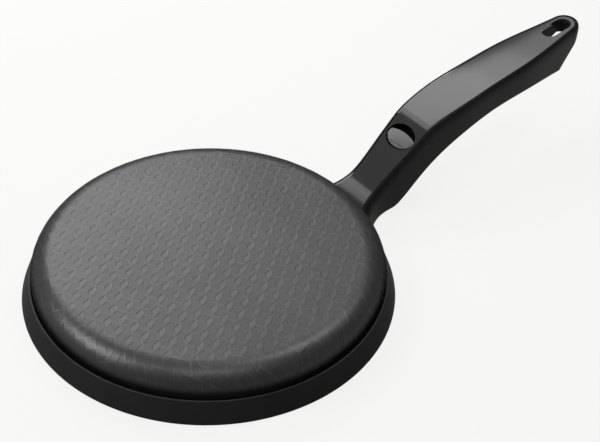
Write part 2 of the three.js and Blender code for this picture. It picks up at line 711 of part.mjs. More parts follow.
// Bed for the handle's cover, and the cover itself, share one outline and differ by the clearance
function bedSection(x, inset, low, high) {
  const half = Math.max(SEAT_GAP, halfWidth(x, inset));
  return section(x, half, half, high, low, 0, 0);
}

const bedDepth = COVER_PLATE + CLEARANCE;
const bedStart = ringTopX - 2 * REACH_PAST;
const ringCone = (gap) => revolve([
  [0, -REACH_PAST],
  [ringRadius(-REACH_PAST) + gap, -REACH_PAST],
  [ringRadius(2 * RING_HEIGHT) + gap, 2 * RING_HEIGHT],
  [0, 2 * RING_HEIGHT],
]);

const hangingSlot = () => prism(slot(holeX, HOLE_LENGTH, HOLE_WIDTH), 0, 2 * TIP_TOP);

// Pocket under the hanging hole, open below and through the slanting end
function endPocket() {
  const half = END_HALF - POCKET_WALL;
  const start = holeX - HOLE_LENGTH / 2 - POCKET_START;
  const end = tipX - POCKET_WALL;
  return prism(slot((start + end) / 2, end - start, 2 * half), 0, topLine(holeX) - HOLE_COLLAR);
}

const gripScrewPlaces = [footX + GRIP_SCREW_REACH, tipX - GRIP_SCREW_SETBACK];
const gripBossTop = (x) => lowerLine(x) + GRIP_SCREW_RECESS + BOSS_WALL;
const gripSeat = (x) => lowerLine(x) + GRIP_SCREW_RECESS;

const couplerStart = footX + COUPLER_REACH;
const couplerEnd = couplerStart + COUPLER_LENGTH;
const couplerMiddle = (couplerStart + couplerEnd) / 2;
const couplerLow = ROOT_UNDERSIDE + CLEARANCE;
const rootFloor = ROOT_UNDERSIDE + HANDLE_WALL;

function handleBody() {
  const outer = loft(stations(footX - ROOT_LAP, tipX - SEAT_GAP).map(outerSection));
  const bedLow = (x) => topLine(x) - bedDepth;
  const bed = loft(stations(bedStart, tipX - RIM_WIDTH + CLEARANCE - SEAT_GAP).map((x) =>
    bedSection(x, RIM_WIDTH - CLEARANCE, bedLow(x), topLine(x) + 2 * EDGE_ROUND)));
  const hollowStart = footX + ROOT_SOLID;
  const hollowEnd = holeX - HOLE_LENGTH / 2 - 9;
  const hollow = loft(stations(hollowStart, hollowEnd).map((x) => section(
    x,
    halfWidth(x, HANDLE_WALL + RIM_WIDTH / 2),
    lowHalfWidth(x) - HANDLE_WALL,
    topLine(x),
    lowerLine(x) + HANDLE_WALL,
    0,
    HOLLOW_ROUND,
  )));
  const bosses = gripScrewPlaces.map((x) =>
    upright(SCREW_HEAD_RADIUS + CLEARANCE + BOSS_WALL, x, 0, lowerLine(x) + HANDLE_WALL / 2, gripBossTop(x)));
  const recesses = gripScrewPlaces.map((x) => upright(SCREW_HEAD_RADIUS + CLEARANCE, x, 0, 0, gripSeat(x)));
  const clearHoles = gripScrewPlaces.map((x) =>
    upright(screwHole, x, 0, 0, gripBossTop(x) + REACH_PAST, SCREW_SIDES));
  const rootHoles = handleScrewPlaces.map((y) =>
    lengthwise(screwHole, y, handleScrewZ, 0, padFace + HANDLE_SCREW_LENGTH + CLEARANCE, SCREW_SIDES));
  const wayEnd = hollowStart + REACH_PAST;
  const wayFloor = COVER_THICKNESS + SEAT_GAP;
  const wireWay = block(0, wayEnd, -WINDOW_HALF, WINDOW_HALF, wayFloor, ledgeUnderside);
  const wellTop = topLine(hollowStart);
  const wireWell = block(hollowStart - WIRE_WELL, wayEnd, -WINDOW_HALF, WINDOW_HALF, wayFloor, wellTop);
  const couplerHole = block(couplerStart - CLEARANCE, couplerEnd + CLEARANCE,
    -COUPLER_HALF - CLEARANCE, COUPLER_HALF + CLEARANCE, 0, rootFloor + REACH_PAST);
  const shell = cut(outer, ringCone(CLEARANCE), bed, hollow, wireWay, wireWell, couplerHole, switchWell(),
    endPocket(), hangingSlot());
  return cut(join(shell, ...bosses), ...recesses, ...clearHoles, ...rootHoles);
}

// Brings a shape from the frame of the sloping flat to the pan's own
const onSlope = (geometry) => geometry.rotateY(-radians(SWITCH_SLOPE)).translate(switchX, 0, SWITCH_HEIGHT);

// Room for the switch body between the handle's walls
function switchWell() {
  const halfLength = OPENING_HALF_LENGTH + SWITCH_WALL + 3 * CLEARANCE;
  const halfAcross = OPENING_HALF_WIDTH + SWITCH_WALL + CLEARANCE;
  const low = -COVER_PLATE - SWITCH_DEPTH - 3 * CLEARANCE;
  return solidOf(onSlope(box(-halfLength, halfLength, -halfAcross, halfAcross, low, 0)));
}

// Handle cover: the inlay, gently crowned across, with two posts for the grip's screws
function handleCover() {
  const skin = (x) => {
    const half = Math.max(SEAT_GAP, halfWidth(x, RIM_WIDTH));
    const edge = topLine(x) - COVER_CROWN / 2;
    const low = topLine(x) - COVER_PLATE;
    const crown = Array.from({ length: CROWN_STEPS + 1 }, (_, i) => {
      const share = 1 - (2 * i) / CROWN_STEPS;
      return [x, half * share, edge + COVER_CROWN * Math.min(1, half / NECK_HALF) * (1 - share ** 2)];
    });
    return [...crown, [x, -half, low], [x, half, low]];
  };
  const inlay = loft(stations(bedStart, tipX - RIM_WIDTH - SEAT_GAP).map(skin));
  const posts = gripScrewPlaces.map((x) =>
    upright(bossRadius, x, 0, gripBossTop(x) + SEAT_GAP, topLine(x) - COVER_PLATE / 2));
  const postHoles = gripScrewPlaces.map((x) =>
    upright(screwHole, x, 0, 0, gripSeat(x) + GRIP_SCREW_LENGTH + CLEARANCE, SCREW_SIDES));
  const oval = ellipse(OPENING_HALF_LENGTH, OPENING_HALF_WIDTH);
  const opening = solidOf(onSlope(extruded(oval, -2 * COVER_PLATE, 2 * COVER_PLATE)));
  return cut(join(inlay, ...posts), ringCone(CLEARANCE), opening, hangingSlot(), ...postHoles);
}

// Rocker: an oval button on two stub pins, with a flat pad and a hollow behind the pad's curved edge
function rockerButton() {
  const halfLength = OPENING_HALF_LENGTH - ROCKER_GAP - CLEARANCE;
  const halfAcross = OPENING_HALF_WIDTH - ROCKER_GAP;
  const top = ROCKER_PIVOT_DEPTH - ROCKER_SINK;
  const hollowFloor = top - PAD_HOLLOW;
  const oval = prism(ellipse(halfLength, halfAcross), top - ROCKER_SKIRT, top);
  const padMiddle = PAD_ARC_REACH - PAD_ARC_RADIUS;
  const pad = upright(PAD_ARC_RADIUS, padMiddle, 0, hollowFloor, top + REACH_PAST, ROUND_SIDES);
  const farHalf = block(0, 2 * halfLength, -2 * halfAcross, 2 * halfAcross, hollowFloor, top + REACH_PAST);
  const pinReach = halfAcross + ROCKER_GAP + SWITCH_WALL - CLEARANCE;
  const pin = new THREE.CylinderGeometry(ROCKER_PIN_RADIUS, ROCKER_PIN_RADIUS, 2 * pinReach, SCREW_SIDES);
  return join(cut(oval, cut(farHalf, pad)), solidOf(pin));
}

// Switch body: a box under the cover with an open top that carries the rocker's pins
const switchTop = -COVER_PLATE - CLEARANCE;
const switchLow = switchTop - SWITCH_DEPTH;

function switchBody() {
  const halfLength = OPENING_HALF_LENGTH + CLEARANCE;
  const halfAcross = OPENING_HALF_WIDTH;
  const shell = block(-halfLength - SWITCH_WALL, halfLength + SWITCH_WALL,
    -halfAcross - SWITCH_WALL, halfAcross + SWITCH_WALL, switchLow, switchTop);
  const pocket = block(-halfLength, halfLength, -halfAcross, halfAcross, switchTop - SWITCH_POCKET, 0);
  const pinHoleRadius = ROCKER_PIN_RADIUS + CLEARANCE;
  const pinHole = new THREE.CylinderGeometry(pinHoleRadius, pinHoleRadius, 4 * halfAcross, SCREW_SIDES);
  return cut(shell, pocket, solidOf(pinHole.translate(0, 0, -ROCKER_PIVOT_DEPTH)));
}

const terminalZ = (switchTop - SWITCH_POCKET + switchLow) / 2;
const terminalX = -OPENING_HALF_LENGTH - SWITCH_WALL - 2 * CLEARANCE;
const switchTerminal = (y) => block(
  terminalX - TERMINAL_LENGTH, terminalX,
  y - TAB_WIDTH / 2, y + TAB_WIDTH / 2,
  terminalZ - TAB_THICKNESS / 2, terminalZ + TAB_THICKNESS / 2,
);

// Coupler: an insulating block let into the root's floor, with a slot for each contact blade
const contactPlaces = { contact_live: -CONTACT_PITCH, contact_earth: 0, contact_neutral: CONTACT_PITCH };

function couplerSocket() {
  const flangeLow = rootFloor + CLEARANCE;
  const couplerTop = couplerLow + COUPLER_HEIGHT;
  const core = block(couplerStart, couplerEnd, -COUPLER_HALF, COUPLER_HALF, couplerLow, couplerTop);
  const flange = block(couplerStart - COUPLER_FLANGE, couplerEnd + COUPLER_FLANGE,
    -COUPLER_HALF - COUPLER_FLANGE, COUPLER_HALF + COUPLER_FLANGE, flangeLow, flangeLow + 2 * COUPLER_FLANGE);
  const slotHalf = CONTACT_WIDTH / 2 + CLEARANCE;
  const [slotStart, slotEnd] = [couplerMiddle - slotHalf, couplerMiddle + slotHalf];
  const slots = Object.values(contactPlaces).map((y) =>
    block(slotStart, slotEnd, y - CONTACT_SLOT / 2, y + CONTACT_SLOT / 2, 0, TIP_TOP));
  return cut(join(core, flange), ...slots);
}

const contactTop = couplerLow + COUPLER_HEIGHT + CONTACT_TAIL;

function contact(y) {
  const face = y + CONTACT_SLOT / 2 - CLEARANCE;
  return block(
    couplerMiddle - CONTACT_WIDTH / 2, couplerMiddle + CONTACT_WIDTH / 2,
    face - CONTACT_THICKNESS, face,
    couplerLow + CLEARANCE, contactTop,
  );
}

// Pan
addPiece('cooking_plate', cookingPlate(), COATED_ALUMINIUM);
addPiece('plate_seal', plateSeal(), SILICONE);
addPiece('housing_ring', housingRing(), BLACK_PLASTIC);
addPiece('bottom_cover', bottomCover(), BLACK_PLASTIC);
addPiece('heating_element', heatingElement(), STEEL);
addPiece('element_clamp', elementClamp(), STEEL);
addPiece('thermostat', thermostat(), CERAMIC);
addPiece('thermal_fuse', thermalFuse(), CERAMIC);
addPiece('insulation_pad', insulationPad(), FELT);
addPiece('earth_tag', earthTag(), BRASS);

// Handle
addPiece('handle_body', handleBody(), BLACK_PLASTIC);
addPiece('handle_cover', handleCover(), INLAY_PLASTIC);
addPiece('coupler_socket', couplerSocket(), GREY_PLASTIC);
Object.entries(contactPlaces).forEach(([name, y]) => addPiece(name, contact(y), BRASS));

// Switch, on the sloping flat of the handle
const switchFrame = new THREE.Group();
switchFrame.position.set(switchX, 0, SWITCH_HEIGHT);
switchFrame.rotation.y = -radians(SWITCH_SLOPE);
pan.add(switchFrame);
const rockerFrame = new THREE.Group();
rockerFrame.position.z = -ROCKER_PIVOT_DEPTH;
rockerFrame.rotation.y = radians(ROCKER_TILT);
switchFrame.add(rockerFrame);
addPiece('rocker_button', rockerButton(), GREY_PLASTIC, rockerFrame);
addPiece('switch_body', switchBody(), BLACK_PLASTIC, switchFrame);
Object.entries(TERMINAL_PLACES).forEach(([name, y]) => addPiece(name, switchTerminal(y), BRASS, switchFrame));

// Screws
function addScrews(name, places, length, z) {
  places.forEach(([x, y], i) => {
    const label = places.length > 1 ? `${name}_${i + 1}` : name;
    addPiece(label, panHead(length), STEEL).position.set(x, y, z);
  });
}

coverScrewPlaces.forEach(([x, y], i) => {
  addPiece(`cover_screw_${i + 1}`, solidOf(countersunk(0, COVER_SCREW_LENGTH)), STEEL).position.set(x, y, 0);
});
addScrews('plate_screw', plateScrewPlaces, LEDGE_THICKNESS + PLATE_SCREW_GRIP, ledgeUnderside);
addScrews('clamp_screw', clampScrewPlaces, CLAMP_SHEET + SHORT_SCREW_GRIP, clampTop - CLAMP_SHEET);
addScrews('thermostat_screw', thermostatScrewPlaces, CLAMP_SHEET + SHORT_SCREW_GRIP, clampTop - CLAMP_SHEET);
addScrews('earth_screw', [[earthX, 0]], TAB_THICKNESS + SHORT_SCREW_GRIP, earthTagTop - TAB_THICKNESS);
handleScrewPlaces.forEach((y, i) => {
  const solid = panHead(HANDLE_SCREW_LENGTH, HANDLE_SCREW_HEAD_RADIUS);
  const screw = addPiece(`handle_screw_${i + 1}`, solid, STEEL);
  screw.position.set(padFace, y, handleScrewZ);
  screw.rotation.y = Math.PI / 2;
});
gripScrewPlaces.forEach((x, i) => {
  addPiece(`grip_screw_${i + 1}`, panHead(GRIP_SCREW_LENGTH), STEEL).position.set(x, 0, gripSeat(x));
});

// Wires: each starts and ends a clearance away from what it joins, and passes the window in the ring
const windowZ = (COVER_THICKNESS + SEAT_GAP + ledgeUnderside) / 2;
const throughWindow = (y) => [
  [footX + 5.5, y, windowZ + 3],
  [footX + 2, y, windowZ + 0.4],
  [footX - 7, y, windowZ],
  [footX - 13, y, windowZ + 0.8],
];
const fromContact = (y) => {
  const lead = y + CONTACT_SLOT / 2 - CLEARANCE - CONTACT_THICKNESS / 2;
  return [
    [couplerMiddle, lead, contactTop + CLEARANCE],
    [couplerMiddle, lead, contactTop + 1.6],
  ];
};
const overCoupler = (y) => [
  [couplerMiddle - 1.9, y * 1.04, contactTop + 3],
  [couplerStart, y * 0.96, contactTop + 1.4],
  [footX + 7.4, y * 0.88, contactTop - 3.6],
];
switchFrame.updateMatrixWorld(true);
const terminalLead = (y) => [CLEARANCE, CLEARANCE + 2.4].map((gap) =>
  switchFrame.localToWorld(new THREE.Vector3(terminalX - TERMINAL_LENGTH - gap, y, terminalZ)).toArray());
const elementLead = (y) => [CLEARANCE + 2.4, CLEARANCE].map((gap) => [elementEndX + gap, y, elementZ]);
const tabLead = (start, y) => [CLEARANCE + 2.4, CLEARANCE].map((gap) => [start + gap, y, tabZ]);
const earthLead = [CLEARANCE + 2, CLEARANCE].map((gap) =>
  [earthTagEnd + gap, 0, earthTagTop - TAB_THICKNESS / 2]);

const wireRoutes = {
  neutral_wire: [
    ...fromContact(CONTACT_PITCH),
    ...overCoupler(CONTACT_PITCH),
    ...throughWindow(WIRE_PITCH),
    [footX - 18, 6.4, 9],
    [footX - 18.4, ELEMENT_END_Y, elementZ - 5],
    ...elementLead(ELEMENT_END_Y),
  ],
  earth_wire: [
    ...fromContact(0),
    ...overCoupler(0),
    ...throughWindow(0),
    [footX - 18, 0, 9],
    [footX - 18.2, 0, earthTagTop - 4.4],
    ...earthLead,
  ],
  switched_wire: [
    ...terminalLead(TERMINAL_PLACES.switch_terminal_out),
    [couplerEnd + 2, -8.4, contactTop + 2.4],
    [couplerMiddle, -8.2, contactTop + 0.8],
    [couplerStart + 0.5, -7, contactTop - 0.2],
    [footX + 7.6, -5, contactTop - 4],
    ...throughWindow(-WIRE_PITCH),
    [footX - 22, -5.4, 9],
    [footX - 40, -3, 10],
    [footX - 58, 2, 11.5],
    ...tabLead(TAB_REACH + FUSE_LENGTH + CLEARANCE, TAB_SPACING),
  ],
  element_wire: [
    ...tabLead(TAB_REACH, -TAB_SPACING).toReversed(),
    [TAB_REACH + 24, -7.4, tabZ + 0.6],
    [elementRadius, -ELEMENT_END_Y, tabZ + 0.8],
    [elementEndX, -ELEMENT_END_Y, tabZ + 1.4],
    [elementEndX + 6.2, -ELEMENT_END_Y, elementZ - 4.4],
    ...elementLead(-ELEMENT_END_Y),
  ],
  live_wire: [
    ...fromContact(-CONTACT_PITCH),
    [couplerMiddle + 3, -4, contactTop + 4.2],
    [couplerEnd + 4, -3, contactTop + 4.6],
    ...terminalLead(TERMINAL_PLACES.switch_terminal_in).toReversed(),
  ],
};
const wireColours = {
  neutral_wire: BLUE_WIRE,
  earth_wire: GREEN_WIRE,
  switched_wire: BROWN_WIRE,
  element_wire: BROWN_WIRE,
  live_wire: BROWN_WIRE,
};
Object.entries(wireRoutes).forEach(([name, route]) => {
  addPiece(name, tube(route, WIRE_RADIUS, Math.ceil(1.5 * route.length), WIRE_SIDES), wireColours[name]);
});

export default pan;
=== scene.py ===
"""Electric crepe pan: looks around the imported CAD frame.

Named sizes are in millimetres and named angles in degrees unless said otherwise.
"""
import json
import math

import bmesh
import bpy
import numpy as np
from mathutils import Matrix, Vector

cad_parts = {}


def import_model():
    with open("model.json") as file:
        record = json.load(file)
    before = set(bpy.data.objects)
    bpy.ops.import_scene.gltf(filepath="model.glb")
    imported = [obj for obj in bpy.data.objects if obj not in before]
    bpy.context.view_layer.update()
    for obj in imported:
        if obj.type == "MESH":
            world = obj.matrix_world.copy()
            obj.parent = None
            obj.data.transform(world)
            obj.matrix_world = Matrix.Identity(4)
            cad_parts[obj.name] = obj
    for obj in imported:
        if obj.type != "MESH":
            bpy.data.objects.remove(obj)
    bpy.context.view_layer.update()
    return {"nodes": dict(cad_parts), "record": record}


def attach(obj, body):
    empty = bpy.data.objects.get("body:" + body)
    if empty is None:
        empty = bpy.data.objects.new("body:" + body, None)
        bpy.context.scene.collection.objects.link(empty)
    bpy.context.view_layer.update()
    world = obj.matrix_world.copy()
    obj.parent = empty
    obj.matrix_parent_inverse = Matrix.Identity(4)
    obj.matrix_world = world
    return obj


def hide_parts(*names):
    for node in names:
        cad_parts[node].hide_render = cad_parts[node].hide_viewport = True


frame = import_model()

MM = 0.001

# Sizes shared with the solids
SEAT_GAP = 0.1
CLEARANCE = 0.3

RING_BASE_RADIUS = 110
RING_TAPER = 5.15
RING_HEIGHT = 13.8
RING_WALL = 2.4
RING_LAND = 0.9
LEDGE_TOP = 9
LEDGE_THICKNESS = 2
LEDGE_WIDTH = 7

PLATE_GAP = 0.35
PLATE_TOP = 30.2
PLATE_CROWN = 0.6
PLATE_SHOULDER = 14

SCREW_RADIUS = 1.5
SCREW_HEAD_RADIUS = 2.8
SCREW_HEAD_HEIGHT = 1.9
BOSS_WALL = 2
COVER_SCREW_INSET = 8
COVER_SCREW_LENGTH = 8
GRIP_SCREW_REACH = 82
GRIP_SCREW_SETBACK = 54
GRIP_SCREW_RECESS = 8
GRIP_SCREW_LENGTH = 12

# Side lines of the handle. A pull is the share of a run for which a curve keeps an end's direction.
HANDLE_LENGTH = 192
ROOT_UNDERSIDE = 1
ROOT_LENGTH = 30
ROOT_CORNER = 7
ROOT_CORNER_RISE = 3.1
ROOT_SOLID = 8
SWITCH_REACH = 39
SWITCH_HEIGHT = 42.2
SWITCH_SLOPE = 37
SWITCH_FLAT = 20
NECK_INSET = 1
NECK_SINK = 0.4
NECK_ANGLE = 27
TIP_TOP = 70.6
TIP_ANGLE = 7.6
TIP_FACE = 7.4
RISE_ANGLE = 34
HEEL_SETBACK = 21.4
HEEL_HEIGHT = 41.6
HEEL_ANGLE = -6
NECK_PULL = 0.5
FLAT_PULL = 0.8
BEND_PULL = 0.16
TIP_PULL = 0.28
RISE_PULL = 0.14
HEEL_PULL = 0.76

# Half widths of the handle, and where they are reached
NECK_REACH = 15
NECK_HALF = 12.8
SWITCH_HALF = 15.2
GRIP_REACH = 75
GRIP_HALF = 17.4
PALM_REACH = 105
PALM_HALF = 16.9
WAIST_SETBACK = 52
WAIST_HALF = 15.7
END_HALF = 10.5
TOP_FLARE = 5.2
TOP_FLARE_RUN = 8
FOOT_FLARE = 15.5
FOOT_FLARE_RUN = 11

HANDLE_DRAFT = 0.5
HANDLE_WALL = 2.6
EDGE_DROP = 8
LOWER_ROUND = 2.5
RIM_WIDTH = 2.8
COVER_PLATE = 2.2
COVER_CROWN = 0.1
HOLE_SETBACK = 17.5
HOLE_LENGTH = 23
HOLE_WIDTH = 10.8
HOLE_COLLAR = 9
POCKET_START = 3
POCKET_WALL = 1.7
COUPLER_REACH = 11
COUPLER_LENGTH = 11
COUPLER_HALF = 7.6

OPENING_HALF_LENGTH = 8.25
OPENING_HALF_WIDTH = 11
ROCKER_GAP = 0.5
ROCKER_TILT = 7
ROCKER_PIVOT_DEPTH = 3
ROCKER_SKIRT = 6.5
ROCKER_PIN_RADIUS = 1.2
ROCKER_SINK = 0.7
PAD_ARC_RADIUS = 26
PAD_ARC_REACH = 3.6
PAD_HOLLOW = 4.2
SWITCH_WALL = 1.2
SWITCH_DEPTH = 10.6

# Places that follow from them
RING_TOP_RADIUS = RING_BASE_RADIUS - RING_TAPER
LIP_RADIUS = RING_TOP_RADIUS - RING_LAND
PLATE_RADIUS = LIP_RADIUS - PLATE_GAP
FLAT_RADIUS = PLATE_RADIUS - PLATE_SHOULDER
FOOT_X = RING_BASE_RADIUS
TIP_X = FOOT_X + HANDLE_LENGTH
SWITCH_X = FOOT_X + SWITCH_REACH
ROOT_X = FOOT_X + ROOT_LENGTH
HEEL_X = TIP_X - HEEL_SETBACK
HOLE_X = TIP_X - HOLE_SETBACK
END_X = TIP_X - END_HALF
GRIP_SCREWS = (FOOT_X + GRIP_SCREW_REACH, TIP_X - GRIP_SCREW_SETBACK)
ROCKER_HALF_LENGTH = OPENING_HALF_LENGTH - ROCKER_GAP - CLEARANCE
ROCKER_HALF_WIDTH = OPENING_HALF_WIDTH - ROCKER_GAP
ROCKER_TOP = ROCKER_PIVOT_DEPTH - ROCKER_SINK


def ring_radius(z):
    return RING_BASE_RADIUS - RING_TAPER * z / RING_HEIGHT


# Meshes. They are kept in metres, and so are the distances that clean them.

WELD = 2e-6
SLIVER = 1e-6
SHARP = 35
LARGE_FACE_WEIGHT = 80
LOOK = "coat_look"


def tidy(mesh, sharp=SHARP):
    """Welds a mesh, turns its faces outwards and shades it smooth.

    Edges sharper than the given angle stay sharp.
    """
    bm = bmesh.new()
    bm.from_mesh(mesh)
    bmesh.ops.remove_doubles(bm, verts=bm.verts, dist=WELD)
    bmesh.ops.dissolve_degenerate(bm, edges=bm.edges, dist=SLIVER)
    bmesh.ops.recalc_face_normals(bm, faces=bm.faces)
    for face in bm.faces:
        face.smooth = True
    limit = math.radians(sharp)
    for edge in bm.edges:
        edge.smooth = not (edge.is_manifold and edge.calc_face_angle() > limit)
    bm.to_mesh(mesh)
    bm.free()


def piece_of(name, verts, faces, sharp=SHARP, looks=()):
    mesh = bpy.data.meshes.new(name)
    mesh.from_pydata((np.array(verts, float) * MM).tolist(), [], faces)
    if len(looks):
        mesh.attributes.new(LOOK, "FLOAT", "FACE").data.foreach_set("value", looks)
    piece = bpy.data.objects.new(name, mesh)
    bpy.context.scene.collection.objects.link(piece)
    tidy(mesh, sharp)
    return piece


def full_turn(sides):
    return [2 * math.pi * i / sides for i in range(sides)]


def lathe(name, profile, sides):
    """A profile of radius and height, turned round the upright axis."""
    count = len(profile)
    verts = []
    for turn in full_turn(sides):
        verts += [(r * math.cos(turn), r * math.sin(turn), z) for r, z in profile]
    faces = []
    for step in range(sides):
        here, there = step * count, (step + 1) % sides * count
        for i in range(count):
            j = (i + 1) % count
            faces.append((here + i, there + i, there + j, here + j))
    return piece_of(name, verts, faces)


def loft(name, rings, sharp=SHARP, far_cap=True):
    """Closed rings of points, skinned and capped.

    A loft whose last ring closes by itself needs no far cap.
    """
    count = len(rings[0])
    verts = [point for ring in rings for point in ring]
    faces = []
    for k in range(len(rings) - 1):
        here, there = k * count, (k + 1) * count
        for i in range(count):
            j = (i + 1) % count
            faces.append((here + i, here + j, there + j, there + i))
    faces.append(tuple(range(count)))
    if far_cap:
        faces.append(tuple(range((len(rings) - 1) * count, len(rings) * count)))
    return piece_of(name, verts, faces, sharp)


def prism(outline, z0, z1, place=None):
    """An outline in the plane, raised between two heights and then put in its place."""
    tool = loft("tool", [[(x, y, z) for x, y in outline] for z in (z0, z1)])
    if place is not None:
        tool.data.transform(place)
    return tool


def carve(piece, *tools, operation="DIFFERENCE", sharp=SHARP):
    """Cuts tools from a piece, or joins them to it, and removes them."""
    for tool in tools:
        step = piece.modifiers.new("carve", "BOOLEAN")
        step.operation = operation
        step.solver = "MANIFOLD"
        step.object = tool
    graph = bpy.context.evaluated_depsgraph_get()
    carved = bpy.data.meshes.new_from_object(piece.evaluated_get(graph))
    piece.modifiers.clear()
    before, piece.data = piece.data, carved
    bpy.data.meshes.remove(before)
    carved.name = piece.name
    for tool in tools:
        bpy.data.objects.remove(tool)
    tidy(carved, sharp)


def even_normals(piece):
    """Large faces set the shading, so the thin ones beside a cut don't show."""
    step = piece.modifiers.new("normals", "WEIGHTED_NORMAL")
    step.keep_sharp = True
    step.weight = LARGE_FACE_WEIGHT


def circle(radius, sides, x=0):
    return [(x + radius * math.cos(t), radius * math.sin(t)) for t in full_turn(sides)]


def oval(half_length, half_across, sides):
    return [(half_length * math.cos(t), half_across * math.sin(t)) for t in full_turn(sides)]


def slot_outline(x, length, width, steps=20):
    half = width / 2
    run = length / 2 - half
    turns = [math.pi * (i / steps - 0.5) for i in range(steps + 1)]
    far = [(x + run + half * math.cos(t), half * math.sin(t)) for t in turns]
    near = [(x - run - half * math.cos(t), -half * math.sin(t)) for t in turns]
    return far + near


def rectangle(x0, x1, y0, y1):
    return [(x0, y0), (x1, y0), (x1, y1), (x0, y1)]


# Side lines and widths of the handle

def heading(degrees):
    return np.array((math.cos(math.radians(degrees)), math.sin(math.radians(degrees))))


def curve(*points, steps=96):
    """Bezier curve through its first and last point."""
    order = len(points) - 1
    t = np.linspace(0, 1, steps + 1)[:, None]
    return sum(
        math.comb(order, i) * t**i * (1 - t) ** (order - i) * np.array(p, float)
        for i, p in enumerate(points)
    )


def sweep(start, start_angle, start_pull, end, end_angle, end_pull):
    """Curve that leaves its start and arrives at its end in given directions."""
    start, end = np.array(start, float), np.array(end, float)
    leave = start + heading(start_angle) * start_pull
    arrive = end - heading(end_angle) * end_pull
    return curve(start, leave, arrive, end)


def height_along(*runs):
    points = np.concatenate(runs)
    return lambda x: float(np.interp(x, points[:, 0], points[:, 1]))


def smooth_through(points, steps=96):
    """Catmull-Rom curve through points."""
    p = np.array([points[0], *points, points[-1]], float)
    t = np.linspace(0, 1, steps + 1)[:, None]
    runs = []
    for a, b, c, d in zip(p, p[1:], p[2:], p[3:]):
        leave, arrive = (c - a) / 2, (d - b) / 2
        bend = (2 * b - 2 * c + leave + arrive) * t**3
        runs.append(bend + (-3 * b + 3 * c - 2 * leave - arrive) * t**2 + leave * t + b)
    return np.concatenate(runs)


flat_middle = np.array((SWITCH_X, SWITCH_HEIGHT))
flat_start = flat_middle - heading(SWITCH_SLOPE) * SWITCH_FLAT / 2
flat_end = flat_middle + heading(SWITCH_SLOPE) * SWITCH_FLAT / 2
neck_start = np.array((RING_TOP_RADIUS - NECK_INSET, RING_HEIGHT - NECK_SINK))
neck_run = float(np.linalg.norm(flat_start - neck_start))
grip_run = TIP_X - flat_end[0]
tip = (TIP_X, TIP_TOP)
top_line = height_along(
    sweep(neck_start, NECK_ANGLE, neck_run * NECK_PULL,
          flat_start, SWITCH_SLOPE, neck_run * FLAT_PULL),
    curve(flat_start, flat_end),
    sweep(flat_end, SWITCH_SLOPE, grip_run * BEND_PULL, tip, TIP_ANGLE, grip_run * TIP_PULL),
)

corner_start = (ROOT_X - ROOT_CORNER, ROOT_UNDERSIDE)
corner_middle = (ROOT_X - ROOT_CORNER / 2, ROOT_UNDERSIDE)
corner_end = (ROOT_X, ROOT_UNDERSIDE + ROOT_CORNER_RISE)
heel = (HEEL_X, HEEL_HEIGHT)
lower_run = HEEL_X - ROOT_X
low_line = height_along(
    curve((0, ROOT_UNDERSIDE), corner_start),
    curve(corner_start, corner_middle, corner_end),
    sweep(corner_end, RISE_ANGLE, lower_run * RISE_PULL, heel, HEEL_ANGLE, lower_run * HEEL_PULL),
    curve(heel, (TIP_X, TIP_TOP - TIP_FACE)),
)

width_line = height_along(smooth_through([
    (FOOT_X, NECK_HALF),
    (FOOT_X + NECK_REACH, NECK_HALF),
    (SWITCH_X, SWITCH_HALF),
    (FOOT_X + GRIP_REACH, GRIP_HALF),
    (FOOT_X + PALM_REACH, PALM_HALF),
    (TIP_X - WAIST_SETBACK, WAIST_HALF),
    (END_X, END_HALF),
]))


def flare(x, amount, run):
    return amount * math.exp((RING_TOP_RADIUS - x) / run)


def top_half(x):
    return width_line(x) + flare(x, TOP_FLARE, TOP_FLARE_RUN)


def low_half(x):
    return width_line(x) + flare(x, FOOT_FLARE, FOOT_FLARE_RUN) - HANDLE_DRAFT


# Half sections of the handle: each gives, for one station, distances from the middle and heights.
# A station is the middle's x, the direction that the section takes from it, and its half widths.

LOWER_STEPS = 6
UPPER_STEPS = 12
RIM_FLAT = 0.2
RIM_BEVEL = 0.06
RIM_BEVEL_DROP = 0.05
RIM_EDGE_DROP = 0.25
INLAY_STEPS = 14
INLAY_ROUND = 0.3
INLAY_BEVEL = 0.09
INLAY_BEVEL_DROP = 0.04


def straight(x):
    return x, 0.0, 1.0, top_half(x), low_half(x)


def turned_end(turn):
    return END_X, math.sin(turn), math.cos(turn), END_HALF, END_HALF - HANDLE_DRAFT


def rounded(before, corner, after, reach_before, reach_after, steps):
    before, corner, after = (np.array(p, float) for p in (before, corner, after))
    start = corner + (before - corner) * reach_before / np.linalg.norm(before - corner)
    end = corner + (after - corner) * reach_after / np.linalg.norm(after - corner)
    return [tuple(p) for p in curve(start, corner, end, steps=steps)]


def body_half(station):
    """Handle's body: its underside, rounded edges, rim, and the bed that the inlay lies in."""
    middle, along, _, wide, low_wide = station

    def top(d):
        return top_line(middle + along * d)

    def low(d):
        return low_line(middle + along * d)

    foot, rim = (low_wide, low(low_wide)), (wide, top(wide))
    points = [(0, low(0)), (low_wide / 2, low(low_wide / 2))]
    points += rounded((0, low(0)), foot, rim, LOWER_ROUND, LOWER_ROUND, LOWER_STEPS)
    inner = wide - RIM_WIDTH + CLEARANCE
    edge = top(inner)
    drop = min(EDGE_DROP, (rim[1] - foot[1]) / 2)
    across = RIM_WIDTH - CLEARANCE - RIM_FLAT
    points += rounded(foot, rim, (inner, edge), drop, across, UPPER_STEPS)
    points += [(inner + RIM_BEVEL, edge - RIM_BEVEL_DROP), (inner, edge - RIM_EDGE_DROP)]
    bed = COVER_PLATE + CLEARANCE
    points += [(inner, edge - bed), (inner / 2, top(inner / 2) - bed), (0, top(0) - bed)]
    return points


